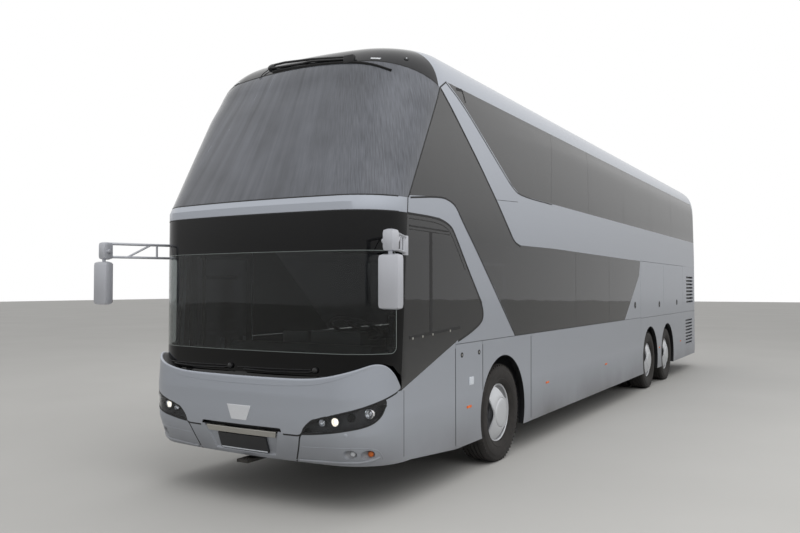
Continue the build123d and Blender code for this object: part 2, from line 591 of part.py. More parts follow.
upper = upper - block(STAIR_X[0] - 10, STAIR_X[1] + 20, stair_head - 3, hole_rear, UPPER_FLOOR_Z - 320,
                      UPPER_FLOOR_Z + 280)
keep("floor_upper", upper)

# Engine, one plain block between the rear rails
keep("engine", block(-RAIL_IN, RAIL_IN, REAR_Y - 1470, REAR_Y - 340, 620, 1500))

# Steered axles: a dropped beam with forks that hold the knuckles, and an air bellows on each side
PIN_LOW = 390
PIN_HIGH = 620
PIN_R = 42
FORK = 40
FORK_W = 90
SPINDLE_R = 60
BEAM_Z = (360, 460)
BELLOWS_R = 75
spindle_end = TYRE_OUT_X - HUB_IN - SEAT_GAP


def dropped_beam(y, rail_z):
    fork_in = KINGPIN_X - 110
    fork_out = KINGPIN_X + 45
    half = FORK_W / 2
    beam = block(-fork_in - 20, fork_in + 20, y - 60, y + 60, *BEAM_Z)
    for side in (1, -1):
        beam = beam + block(side * fork_in, side * (fork_in + FORK), y - half, y + half, PIN_LOW - FORK,
                            PIN_HIGH + FORK)
        beam = beam + block(side * fork_in, side * fork_out, y - half, y + half, PIN_LOW - FORK, PIN_LOW)
        beam = beam + block(side * fork_in, side * fork_out, y - half, y + half, PIN_HIGH, PIN_HIGH + FORK)
        beam = beam + rod_z(BELLOWS_R, side * RAIL_X, y, BEAM_Z[1] - 1, rail_z)
    return beam


def knuckle(side, y):
    pin = rod_z(PIN_R, side * KINGPIN_X, y, PIN_LOW + SEAT_GAP, PIN_HIGH - SEAT_GAP)
    return pin + rod_x(SPINDLE_R, side * KINGPIN_X, side * spindle_end, y, WHEEL_R)


front_bellows_z = front_rail_z - TALL_RAIL_H - SEAT_GAP
rear_bellows_z = rear_rail_z - TALL_RAIL_H - SEAT_GAP
keep("front_axle", dropped_beam(FRONT_AXLE_Y, front_bellows_z))
keep("tag_axle", dropped_beam(TAG_AXLE_Y, rear_bellows_z))

# Drive axle: tube, differential and two bellows on a beam at each side
drive = rod_x(90, -spindle_end, spindle_end, DRIVE_AXLE_Y, WHEEL_R)
drive = drive + rod_x(190, -150, 150, DRIVE_AXLE_Y, WHEEL_R)
SPRING_BEAM_Z = (470, 540)
for side in (1, -1):
    beam_x = side * RAIL_X
    drive = drive + block(beam_x - 50, beam_x + 50, DRIVE_AXLE_Y - 380, DRIVE_AXLE_Y + 380, *SPRING_BEAM_Z)
    for shift in (-280, 280):
        drive = drive + rod_z(90, beam_x, DRIVE_AXLE_Y + shift, SPRING_BEAM_Z[1] - 1, rear_bellows_z)
keep("drive_axle", drive)

# Tyres and rims: radius, distance in from the tyre's outer face
TYRE = [(RIM_R, 20), (RIM_R, TYRE_W - 20), (WHEEL_R - 95, TYRE_W), (WHEEL_R - 30, TYRE_W - 10),
        (WHEEL_R, TYRE_W - 45), (WHEEL_R, 45), (WHEEL_R - 30, 10), (WHEEL_R - 95, 0)]
RIM_IN = RIM_R - 14
RIM = [(RIM_R, 20), (RIM_R, TYRE_W - 20), (RIM_IN, TYRE_W - 20), (RIM_IN, 75), (235, 95), (120, 110),
       (120, HUB_IN), (0, HUB_IN), (0, 12), (95, 12), (110, 25), (120, 58), (235, 58), (RIM_IN - 8, 28)]
TWIN_STEP = TYRE_W + TWIN_GAP
INNER_RIM = [(100, HUB_IN + SEAT_GAP), (135, HUB_IN + SEAT_GAP), (135, TWIN_STEP - 12), (RIM_IN, TWIN_STEP - 12),
             (RIM_R, TWIN_STEP + 20), (RIM_R, TWIN_STEP + TYRE_W - 20), (RIM_IN, TWIN_STEP + TYRE_W - 20),
             (RIM_IN, TWIN_STEP + 10), (100, TWIN_STEP + 10)]
AXLES = (("front", FRONT_AXLE_Y), ("drive", DRIVE_AXLE_Y), ("tag", TAG_AXLE_Y))
for axle, y in AXLES:
    for side, name in ((1, "left"), (-1, "right")):
        tyres = [spun(TYRE, y, side)]
        rims = [spun(RIM, y, side)]
        if axle == "drive":
            tyres.append(spun([(r, inward + TWIN_STEP) for r, inward in TYRE], y, side))
            rims.append(spun(INNER_RIM, y, side))
        else:
            keep("knuckle_%s_%s" % (axle, name), knuckle(side, y))
        keep("tyre_%s_%s" % (axle, name), *tyres)
        keep("rim_%s_%s" % (axle, name), *rims)

# Doors, each a leaf carried by a crank that swings it out and along the side
DOOR_FOOT_Z = SKIRT_Z + 20
FRAME_W = 90
STRAPS = (560, 1900)
STRAP = 20
crank_top = UPPER_FLOOR_Z - SLAB - SEAT_GAP
DOORS = [
    ("front", FRONT_DOOR_START, FRONT_DOOR_W, STEPS[0][2] + SEAT_GAP),
    ("middle", MIDDLE_DOOR_START, MIDDLE_DOOR_W, LOW_FLOOR_Z + SEAT_GAP),
]
for name, y0, width, foot_z in DOORS:
    y1 = y0 + width
    leaf = wall_shell & block(-REACH, -HALF_WIDTH + 375, y0, y1, DOOR_FOOT_Z, DOOR_TOP_Z)
    window = block(-REACH, -HALF_WIDTH + 375, y0 + FRAME_W, y1 - FRAME_W, DOOR_FOOT_Z + 290,
                   DOOR_TOP_Z - FRAME_W)
    leaf = (leaf - window) + (pane_shell & window)
    pivot_y = y0 + DOOR_PIVOT_IN
    joint_y = pivot_y + DOOR_ARM
    crank = rod_z(DOOR_PIVOT_R, -DOOR_PIVOT_X, pivot_y, foot_z, crank_top)
    for z in STRAPS:
        crank = crank + block(-DOOR_PIVOT_X - 15, -DOOR_PIVOT_X + 15, pivot_y, joint_y + 20, z, z + BOARD)
        strap_z = z + BOARD + SEAT_GAP
        strap = block(-INNER, -DOOR_PIVOT_X + 25, joint_y - 25, joint_y + 25, strap_z, strap_z + STRAP)
        hole = rod_z(DOOR_PIN_R + PIN_GAP, -DOOR_PIVOT_X, joint_y, strap_z - 5, strap_z + STRAP + 5)
        leaf = leaf + (strap - hole)
        crank = crank + rod_z(DOOR_PIN_R, -DOOR_PIVOT_X, joint_y, z + BOARD - 1, strap_z + STRAP)
    leaf = leaf + block(-INNER - 40, -INNER + 10, joint_y - 60, joint_y + 60, STRAPS[0], STRAPS[1] + 100)
    keep(name + "_door", leaf)
    keep(name + "_door_arm", crank)

# Flaps of the luggage space, and the service flap ahead of the front wheel
for side, name in ((1, "left"), (-1, "right")):
    for place, y0, y1 in (("front", LUGGAGE_Y, FLAP_SPLIT_Y), ("rear", FLAP_SPLIT_Y, ENGINE_SEAM_Y)):
        outline = panel(y0, y1, FLAP_Z, BAND_LOW_Z - SEAM)
        keep("flap_%s_%s" % (name, place), wall_shell & side_prism(outline, side))
outline = panel(NOSE_SEAM_Y, ARCH_SEAM_Y, SKIRT_Z + 20, PANEL_Z - SEAM)
keep("service_flap", (wall_shell & side_prism(outline, 1)) - arches)

# Driver's place
DASH_X = (795 - HALF_WIDTH, HALF_WIDTH - 225)
dash_foot = PLATFORM_Z + SEAT_GAP
DASH = [(300, 440), (440, 570), (640, 560), (740, 360)]
dash = [(FRONT_Y + 300, dash_foot)] + shifted(DASH, FRONT_Y, PLATFORM_Z) + [(FRONT_Y + 690, dash_foot)]
HAND_R = 225
GRIP_R = 16
COLUMN_R = 26
COLUMN_L = 340
wheel_plane = Plane(origin=(620, FRONT_Y + 820, PLATFORM_Z + 690), z_dir=(0, 0.42, 0.9))
ring = wheel_plane * Solid.make_torus(HAND_R, GRIP_R)
ring = ring + wheel_plane * Solid.make_cylinder(40, 30)
ring = ring + wheel_plane * Pos(-HAND_R, -15, -5) * Solid.make_box(2 * HAND_R, 30, 12)
column = wheel_plane * Pos(0, 0, 10 - COLUMN_L) * Solid.make_cylinder(COLUMN_R, COLUMN_L)
socket = wheel_plane * Pos(0, 0, 10 - COLUMN_L - SEAT_GAP) * Solid.make_cylinder(COLUMN_R + SEAT_GAP, COLUMN_L)
keep("dashboard", prism_x(dash, *DASH_X) - socket)
keep("steering_wheel", ring + column)

# Seats: simple closed solids, in twos beside the aisle
SEAT = [(60, 0), (420, 0), (470, 400), (600, 1080), (520, 1100), (400, 480), (0, 460), (0, 380), (60, 360)]
SEAT_X = (HALF_WIDTH - 1025, HALF_WIDTH - 125)
SEAT_PITCH = 800
DRIVER_SEAT = (380, 860, FRONT_Y + 1290)
LOW_ROWS = 5
LOW_ROWS_RIGHT = 2
UPPER_ROWS = 15


def seat(x0, x1, y, z):
    return prism_x(shifted(SEAT, y, z + SEAT_GAP), x0, x1)


places = [seat(*DRIVER_SEAT, PLATFORM_Z)]
for row in range(LOW_ROWS):
    y = FRONT_AXLE_Y + 980 + row * SEAT_PITCH
    places.append(seat(*SEAT_X, y, LOW_FLOOR_Z))
    if row < LOW_ROWS_RIGHT:
        places.append(seat(-SEAT_X[1], -SEAT_X[0], y, LOW_FLOOR_Z))
keep("seats_lower", *places)
places = []
for row in range(UPPER_ROWS):
    y = FRONT_Y + 1340 + row * SEAT_PITCH
    places.append(seat(*SEAT_X, y, UPPER_FLOOR_Z))
    if y + 650 < stair_head or y > hole_rear:
        places.append(seat(-SEAT_X[1], -SEAT_X[0], y, UPPER_FLOOR_Z))
keep("seats_upper", *places)

# Mirrors: a truss arm ahead of each upper corner of the screen, with an elbow at its end and the head
# hanging below it
MIRROR_Z = BAND_LOW_Z - 65
TRUSS_H = 142
TRUSS_BAR = 26
STRUTS = (0.13, 0.36, 0.60)
STRUT_W = 22
ELBOW_X = (HALF_WIDTH + 235, HALF_WIDTH + 325)
ELBOW_Y = (FRONT_Y - 165, FRONT_Y - 65)
ROD_R = 16
HEAD_X = (HALF_WIDTH + 200, HALF_WIDTH + 380)
HEAD_Y = (FRONT_Y - 178, FRONT_Y - 86)
HEAD_TOP_Z = MIRROR_Z - TRUSS_H - 4
HEAD_H = 400
HEAD_EDGE = 34
arm_root = Vector(HALF_WIDTH + SEAT_GAP, FRONT_Y + 560, 0)
arm_end = Vector((ELBOW_X[0] + ELBOW_X[1]) / 2, ELBOW_Y[1] - 20, 0)


def arm_piece(start, end, low, high, width, side):
    """A flat bar of the truss, between two shares of the arm's length."""
    a = arm_root + (arm_end - arm_root) * start
    b = arm_root + (arm_end - arm_root) * end
    corners = [(a.X, a.Y - width / 2), (a.X, a.Y + width / 2), (b.X, b.Y + width / 2), (b.X, b.Y - width / 2)]
    outline = Wire.make_polygon([(side * x, y, low) for x, y in corners], close=True)
    return Solid.extrude(Face(outline), Vector(0, 0, high - low))


mirrors = []
for side in (1, -1):
    low = MIRROR_Z - TRUSS_H
    mirror = arm_piece(0, 1, MIRROR_Z - TRUSS_BAR, MIRROR_Z, 2 * TRUSS_BAR, side)
    mirror = mirror + arm_piece(0, 1, low, low + TRUSS_BAR, 2 * TRUSS_BAR, side)
    for share in STRUTS:
        mirror = mirror + arm_piece(share, share + 0.04, low + 1, MIRROR_Z - 1, STRUT_W, side)
    mirror = mirror + arm_piece(0, 0.03, low, MIRROR_Z, 80, side)
    mirror = mirror + block(side * ELBOW_X[0], side * ELBOW_X[1], *ELBOW_Y, low, MIRROR_Z)
    mirror = mirror + rod_z(ROD_R, side * (ELBOW_X[0] + 50), FRONT_Y - 130, HEAD_TOP_Z - 20, low + 20)
    head = block(side * HEAD_X[0], side * HEAD_X[1], *HEAD_Y, HEAD_TOP_Z - HEAD_H, HEAD_TOP_Z)
    head = head.fillet(HEAD_EDGE, head.edges().filter_by(Axis.Z))
    mirrors.append(mirror + head)
keep("mirrors", *mirrors)

os.makedirs("parts", exist_ok=True)
for name, solids in nodes.items():
    shape = solids[0] if len(solids) == 1 else Compound(children=solids)
    export_step(shape, "parts/" + name + ".step")
print(len(nodes), "nodes")
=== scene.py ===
import json
import math

import bmesh
import bpy
from mathutils import Matrix, Vector
from mathutils.bvhtree import BVHTree

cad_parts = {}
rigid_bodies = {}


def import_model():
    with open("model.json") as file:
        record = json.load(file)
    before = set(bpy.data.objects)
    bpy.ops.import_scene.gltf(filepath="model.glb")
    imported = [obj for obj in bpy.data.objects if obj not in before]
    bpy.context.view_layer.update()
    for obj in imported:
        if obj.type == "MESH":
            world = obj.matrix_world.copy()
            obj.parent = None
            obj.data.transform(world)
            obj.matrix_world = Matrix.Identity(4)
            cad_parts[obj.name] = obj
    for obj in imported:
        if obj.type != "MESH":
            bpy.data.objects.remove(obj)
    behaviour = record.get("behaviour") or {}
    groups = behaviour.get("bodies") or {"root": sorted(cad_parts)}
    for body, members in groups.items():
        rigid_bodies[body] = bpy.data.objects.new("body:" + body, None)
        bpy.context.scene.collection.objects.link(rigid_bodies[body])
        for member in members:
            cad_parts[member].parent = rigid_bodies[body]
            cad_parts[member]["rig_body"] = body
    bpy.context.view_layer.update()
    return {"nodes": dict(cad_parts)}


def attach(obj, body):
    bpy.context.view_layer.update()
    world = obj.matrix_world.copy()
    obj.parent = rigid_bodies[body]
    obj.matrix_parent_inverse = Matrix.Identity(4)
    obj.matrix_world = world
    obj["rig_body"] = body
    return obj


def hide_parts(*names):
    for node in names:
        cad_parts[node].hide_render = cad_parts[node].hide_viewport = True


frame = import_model()
nodes = frame["nodes"]

# The camera
# It stands where the photograph was taken: ahead of the driver's corner, at the height of the lower
# screen, with a normal lens and almost level.
IMAGE_WIDTH = 800
FOCAL_PIXELS = 762.709
YAW, PITCH, ROLL = (math.radians(angle) for angle in (30.698, 1.560, -0.040))
camera_data = bpy.data.cameras.new("photo_camera")
camera_data.sensor_width = 36
camera_data.lens = 36 * FOCAL_PIXELS / IMAGE_WIDTH
camera_data.clip_end = 200
camera = bpy.data.objects.new("photo_camera", camera_data)
bpy.context.scene.collection.objects.link(camera)
ahead = Vector((-math.sin(YAW) * math.cos(PITCH), math.cos(YAW) * math.cos(PITCH), math.sin(PITCH)))
level_right = Vector((math.cos(YAW), math.sin(YAW), 0))
level_up = level_right.cross(ahead)
right = level_right * math.cos(ROLL) + level_up * math.sin(ROLL)
turned = Matrix((right, right.cross(ahead), -ahead)).transposed().to_4x4()
camera.matrix_world = Matrix.Translation((4.42509, -11.75894, 1.81326)) @ turned
bpy.context.scene.camera = camera
bpy.context.scene.view_settings.view_transform = "Standard"

# The yard and its light
# A plain pale concrete floor under an even overcast sky, with two broad soft lights high over the
# coach. The sky is white behind it and through its glass; its paint mirrors a greyer horizon.


def srgb(code):
    """Linear colour of an sRGB hex value."""
    parts = [int(code[place:place + 2], 16) / 255 for place in (0, 2, 4)]
    return tuple(c / 12.92 if c <= 0.04045 else ((c + 0.055) / 1.055) ** 2.4 for c in parts) + (1.0,)


def fill(node, inputs):
    """Fills a node's inputs with values, or links them to other nodes."""
    for name, value in inputs.items():
        if isinstance(value, bpy.types.NodeSocket):
            node.id_data.links.new(value, node.inputs[name])
        else:
            node.inputs[name].default_value = value
    return node


def add(tree, kind, inputs=None, **settings):
    """Adds a node with its settings and inputs."""
    made = tree.nodes.new(kind)
    for name, value in settings.items():
        setattr(made, name, value)
    return fill(made, inputs or {})


def new_finish(name):
    """A new material, with its tree, its shader and the piece's own coordinates."""
    made = bpy.data.materials.new(name)
    made.use_nodes = True
    tree = made.node_tree
    return made, tree, tree.nodes["Principled BSDF"], add(tree, "ShaderNodeTexCoord").outputs["Object"]


def link(name, mesh):
    """Object for a finished mesh, at the origin."""
    made = bpy.data.objects.new(name, mesh)
    bpy.context.scene.collection.objects.link(made)
    return made


floor_mesh = bpy.data.meshes.new("yard_floor")
floor_mesh.from_pydata([(-90, -90, 0), (90, -90, 0), (90, 90, 0), (-90, 90, 0)], [], [(0, 1, 2, 3)])
link("yard_floor", floor_mesh)
concrete, tree, shader, place = new_finish("pale_cast_concrete")
cloud = add(tree, "ShaderNodeTexNoise", {"Vector": place, "Scale": 0.35, "Detail": 6.0})
tone = add(tree, "ShaderNodeMix", {6: srgb("b4b3b0"), 7: srgb("c2c1be"), 0: cloud.outputs["Fac"]},
           data_type="RGBA")
fill(shader, {"Base Color": tone.outputs[2], "Roughness": 0.75})
floor_mesh.materials.append(concrete)

world = bpy.data.worlds.new("overcast_sky")
bpy.context.scene.world = world
world.use_nodes = True
tree = world.node_tree
ray = add(tree, "ShaderNodeLightPath")
seen = add(tree, "ShaderNodeMath", {0: ray.outputs["Is Camera Ray"], 1: ray.outputs["Is Glossy Ray"]},
           operation="MAXIMUM")
seen = add(tree, "ShaderNodeMath", {0: seen.outputs[0], 1: ray.outputs["Is Transmission Ray"]},
           operation="MAXIMUM")
strength = add(tree, "ShaderNodeMapRange", {"Value": seen.outputs[0], "To Min": 0.6, "To Max": 1.0})
# An overcast sky is greyer near the horizon, and metal and glass show it so; the backdrop behind stays white
direction = add(tree, "ShaderNodeTexCoord")
rise = add(tree, "ShaderNodeSeparateXYZ", {"Vector": direction.outputs["Generated"]})
haze = add(tree, "ShaderNodeMapRange", {"Value": rise.outputs["Z"], "From Min": 0.06, "From Max": 0.22,
                                        "To Min": 0.58, "To Max": 1.0})
shown = add(tree, "ShaderNodeMix", {2: 1.0, 3: haze.outputs["Result"], 0: ray.outputs["Is Glossy Ray"]})
tone = add(tree, "ShaderNodeCombineColor", {"Red": shown.outputs[0], "Green": shown.outputs[0],
                                            "Blue": shown.outputs[0]})
fill(tree.nodes["Background"], {"Color": tone.outputs["Color"], "Strength": strength.outputs["Result"]})

for name, place, size, power in (("sky_panel_front", (7, -9, 9), 9, 620), ("sky_panel_top", (0, 1, 11), 14, 520)):
    lamp_data = bpy.data.lights.new(name, "AREA")
    lamp_data.size = size
    lamp_data.energy = power
    lamp = bpy.data.objects.new(name, lamp_data)
    bpy.context.scene.collection.objects.link(lamp)
    lamp.visible_glossy = False
    aim = Vector((0, -1, 1.5)) - Vector(place)
    lamp.matrix_world = Matrix.Translation(place) @ aim.to_track_quat("-Z", "Y").to_matrix().to_4x4()

# Chassis
# Welded steel rails with cross members, sprayed with black cavity wax that has dulled and taken dust;
# cast axles and hubs in grey chassis paint.


def mottled(name, low, high, grain, roughness, metallic=0.0, relief=0.0, spread=0.08):
    """Finish of two close colours that alternate at the size of its grain, with matching gloss and relief."""
    made, tree, shader, place = new_finish(name)
    noise = add(tree, "ShaderNodeTexNoise", {"Vector": place, "Scale": 1 / grain, "Detail": 4.0}).outputs["Fac"]
    share = add(tree, "ShaderNodeMapRange", {"Value": noise, "From Min": 0.3, "From Max": 0.7})
    tone = add(tree, "ShaderNodeMix", {6: srgb(low), 7: srgb(high), 0: share.outputs["Result"]}, data_type="RGBA")
    matt = add(tree, "ShaderNodeMapRange", {"Value": noise, "To Min": max(0.0, roughness - spread),
                                            "To Max": min(1.0, roughness + spread)})
    fill(shader, {"Base Color": tone.outputs[2], "Roughness": matt.outputs["Result"], "Metallic": metallic})
    if relief:
        bump = add(tree, "ShaderNodeBump", {"Height": noise, "Distance": relief, "Strength": 1.0})
        fill(shader, {"Normal": bump.outputs["Normal"]})
    return made


def coat(node, finish):
    """Gives a CAD node one finish all over."""
    for slot in nodes[node].material_slots:
        slot.material = finish


# Wax runs and dust lie in patches 40 mm across
waxed_steel = mottled("black_waxed_steel_tube", "1c1b1a", "37342f", 0.04, 0.62, relief=0.0006)
# Casting skin has a 3 mm pebble under thick paint
cast_grey = mottled("grey_painted_iron_casting", "3b3d3f", "55565a", 0.003, 0.55, relief=0.0003)
for node in nodes:
    if node in ("chassis_frame", "front_door_arm", "middle_door_arm"):
        coat(node, waxed_steel)
    elif node.startswith("knuckle") or node.endswith("_axle"):
        coat(node, cast_grey)

# Floors, stairs and steps
# Birch boards under a speckled grey sheet floor, welded at its joints; the stairs have the same sheet.
# Speckles are 2 mm, drawn as 8 mm so that they show through the glass
sheet_floor = mottled("speckled_grey_sheet_floor", "3c3e42", "5b5d61", 0.008, 0.6)
for node in ("floor_lower", "floor_upper", "stairs"):
    coat(node, sheet_floor)

# Seats
# Moulded foam pads in woven grey-blue plush on steel tube frames, in pairs on a pedestal, each with a
# plastic back shell. The pads swell between their edges, as stuffed ones do.


def box_into(form, low, high, edge=0.004, finish=0):
    """Adds a box with rounded edges."""
    before = set(form.faces)
    corners = bmesh.ops.create_cube(form, size=1)["verts"]
    for corner in corners:
        corner.co = [(a + b) / 2 + (b - a) * c for a, b, c in zip(low, high, corner.co)]
    edges = list({side for corner in corners for side in corner.link_edges})
    bmesh.ops.bevel(form, geom=edges, offset=edge, segments=2, profile=0.6, affect="EDGES", clamp_overlap=True)
    for face in form.faces:
        if face not in before:
            face.material_index = finish


def turn_into(form, profile, centre, axis, steps=48, finish=0):
    """Adds a turned shape from radius and distance along its axis."""
    axis = Vector(axis).normalized()
    side = axis.orthogonal().normalized()
    other = axis.cross(side)
    rings = []
    for radius, distance in profile:
        middle = Vector(centre) + axis * distance
        if radius < 0.00001:
            rings.append([form.verts.new(middle)])
            continue
        angles = [2 * math.pi * step / steps for step in range(steps)]
        rings.append([form.verts.new(middle + (side * math.cos(a) + other * math.sin(a)) * radius) for a in angles])
    for ring, following in zip(rings, rings[1:]):
        for step in range(steps):
            after = (step + 1) % steps
            corners = [ring[step % len(ring)], ring[after % len(ring)],
                       following[after % len(following)], following[step % len(following)]]
            corners = [c for place, c in enumerate(corners) if c not in corners[:place]]
            if len(corners) > 2:
                form.faces.new(corners).material_index = finish


def join_rings(form, rings, finish=0, ends=True):
    """Skins rings of as many points each, and closes the first and the last."""
    for ring, following in zip(rings, rings[1:]):
        for step in range(len(ring)):
            after = (step + 1) % len(ring)
            form.faces.new((ring[step], ring[after], following[after], following[step])).material_index = finish
    if ends:
        form.faces.new(rings[0]).material_index = finish
        form.faces.new(rings[-1]).material_index = finish


def slab_into(form, near, far):
    """Adds a closed slab between two outlines with as many corners."""
    near = [form.verts.new(corner) for corner in near]
    far = [form.verts.new(corner) for corner in far]
    form.faces.new(near)
    form.faces.new(far[::-1])
    for place in range(len(near)):
        after = (place + 1) % len(near)
        form.faces.new((near[after], near[place], far[place], far[after]))


def moved_into(form, mesh, turn):
    """Adds a copy of a mesh, moved and turned."""
    before = len(form.verts)
    form.from_mesh(mesh)
    form.verts.ensure_lookup_table()
    for vert in form.verts[before:]:
        vert.co = turn @ vert.co


def tube_into(form, points, radius, sides=12, finish=0):
    """Adds a round bar along a line of points, with mitred bends and closed ends."""
    points = [Vector(point) for point in points]
    rings = []
    for place, point in enumerate(points):
        before = (point - points[place - 1]).normalized() if place else (points[1] - point).normalized()
        after = (points[place + 1] - point).normalized() if place + 1 < len(points) else before
        along = (before + after).normalized()
        level = Vector((0, 0, 1)) if abs(along.z) < 0.9 else Vector((1, 0, 0))
        side = along.cross(level).normalized()
        other = side.cross(along)
        angles = [2 * math.pi * step / sides for step in range(sides)]
        rings.append([form.verts.new(point + (side * math.cos(a) + other * math.sin(a)) * radius) for a in angles])
    join_rings(form, rings, finish)


def made_of(name, form):
    """Object at the origin from a form, which is freed."""
    mesh = bpy.data.meshes.new(name)
    form.to_mesh(mesh)
    form.free()
    return link(name, mesh)


def smoothed(form, sharp):
    """Smooth faces, with an edge where they meet at more than some degrees."""
    for face in form.faces:
        face.smooth = True
    for edge in form.edges:
        edge.smooth = len(edge.link_faces) == 2 and edge.calc_face_angle(0) < math.radians(sharp)


# Points closer than this are one point
WELD = 0.00002


def finished(name, form, body, slot, *materials, sharp=35):
    """Turns a form into a piece on a body: faces outwards, curved ones smooth, with its materials."""
    bmesh.ops.remove_doubles(form, verts=form.verts, dist=WELD)
    bmesh.ops.recalc_face_normals(form, faces=form.faces)
    smoothed(form, sharp)
    made = made_of(name, form)
    for material in materials:
        made.data.materials.append(material)
    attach(made, body)
    return made


def islands(node):
    """Lowest and highest corner of each solid in a CAD node."""
    form = bmesh.new()
    form.from_mesh(nodes[node].data)
    bmesh.ops.remove_doubles(form, verts=form.verts, dist=WELD)
    left = set(form.verts)
    found = []
    while left:
        group = [left.pop()]
        for vert in group:
            for edge in vert.link_edges:
                other = edge.other_vert(vert)
                if other in left:
                    left.remove(other)
                    group.append(other)
        found.append([Vector([pick(vert.co[axis] for vert in group) for axis in range(3)]) for pick in (min, max)])
    form.free()
    return sorted(found, key=lambda pair: tuple(pair[0]))


PAD_WIDTH = 0.40
BACK_TILT = math.radians(12)
BACK_OUTLINE = [(-0.205, 0.0), (0.205, 0.0), (0.205, 0.42), (0.150, 0.50), (0.140, 0.64), (-0.140, 0.64),
                (-0.150, 0.50), (-0.205, 0.42)]
BACK_THICK = 0.075
BACK_SHELL = [(-0.2, 0.0), (0.2, 0.0), (0.2, 0.41), (0.13, 0.5), (0.12, 0.62), (-0.12, 0.62), (-0.13, 0.5),
              (-0.2, 0.41)]
SHELL_Y = (0.045, 0.060)


def pad(name, outline, depth, cap):
    """A foam pad: a slab on an outline, swelled by cloth simulation under pressure, then thinned."""
    form = bmesh.new()
    slab_into(form, [(x, -depth / 2, z) for x, z in outline], [(x, depth / 2, z) for x, z in outline])
    bmesh.ops.recalc_face_normals(form, faces=form.faces)
    bmesh.ops.bevel(form, geom=form.edges[:], offset=0.018, segments=3, profile=0.5, affect="EDGES",
                    clamp_overlap=True)
    made = made_of(name, form)
    mesh = made.data
    remesh = made.modifiers.new("even_weave", "REMESH")
    remesh.mode = "VOXEL"
    remesh.voxel_size = 0.016
    cloth = made.modifiers.new("foam_pressure", "CLOTH")
    cloth.settings.use_pressure = True
    cloth.settings.uniform_pressure_force = 4
    cloth.settings.effector_weights.gravity = 0
    cloth.point_cache.frame_start = 1
    cloth.point_cache.frame_end = 20
    for step in range(1, 21):
        bpy.context.scene.frame_set(step)
    graph = bpy.context.evaluated_depsgraph_get()
    swelled = bpy.data.meshes.new_from_object(made.evaluated_get(graph))
    bpy.context.scene.frame_set(1)
    made.modifiers.clear()
    skin = BVHTree.FromPolygons([v.co for v in mesh.vertices], [p.vertices for p in mesh.polygons])
    for vert in swelled.vertices:
        nearest = skin.find_nearest(vert.co)[0]
        moved = vert.co - nearest
        if moved.length > cap:
            vert.co = nearest + moved.normalized() * cap
    thinned = link(name + "_thinned", swelled)
    fewer = thinned.modifiers.new("fewer_faces", "DECIMATE")
    fewer.ratio = 0.22
    graph = bpy.context.evaluated_depsgraph_get()
    result = bpy.data.meshes.new_from_object(thinned.evaluated_get(graph))
    for old in (made, thinned):
        bpy.data.objects.remove(old)
    return result


cushion_pad = pad("cushion_pad", [(-PAD_WIDTH / 2, -0.19), (PAD_WIDTH / 2, -0.19), (PAD_WIDTH / 2, 0.19),
                                  (-PAD_WIDTH / 2, 0.19)], 0.065, 0.016)
back_pad = pad("back_pad", BACK_OUTLINE, BACK_THICK - 0.02, 0.016)

# Plush pile is 1 mm, drawn as 5 mm so that it shows, over a 30 mm fleck woven into it
plush, tree, shader, place = new_finish("woven_plush_grey_blue")
pile = add(tree, "ShaderNodeTexNoise", {"Vector": place, "Scale": 200.0, "Detail": 3.0})
fleck = add(tree, "ShaderNodeTexVoronoi", {"Vector": place, "Scale": 33.0})
dot = add(tree, "ShaderNodeMath", {0: fleck.outputs["Distance"], 1: 0.28}, operation="LESS_THAN")
tone = add(tree, "ShaderNodeMix", {6: srgb("23262f"), 7: srgb("343946"), 0: pile.outputs["Fac"]}, data_type="RGBA")
tone = add(tree, "ShaderNodeMix", {6: tone.outputs[2], 7: srgb("5c6478"), 0: dot.outputs[0]}, data_type="RGBA")
bump = add(tree, "ShaderNodeBump", {"Height": pile.outputs["Fac"], "Distance": 0.002, "Strength": 0.6})
fill(shader, {"Base Color": tone.outputs[2], "Normal": bump.outputs["Normal"], "Roughness": 0.95,
              "Sheen Weight": 0.4})

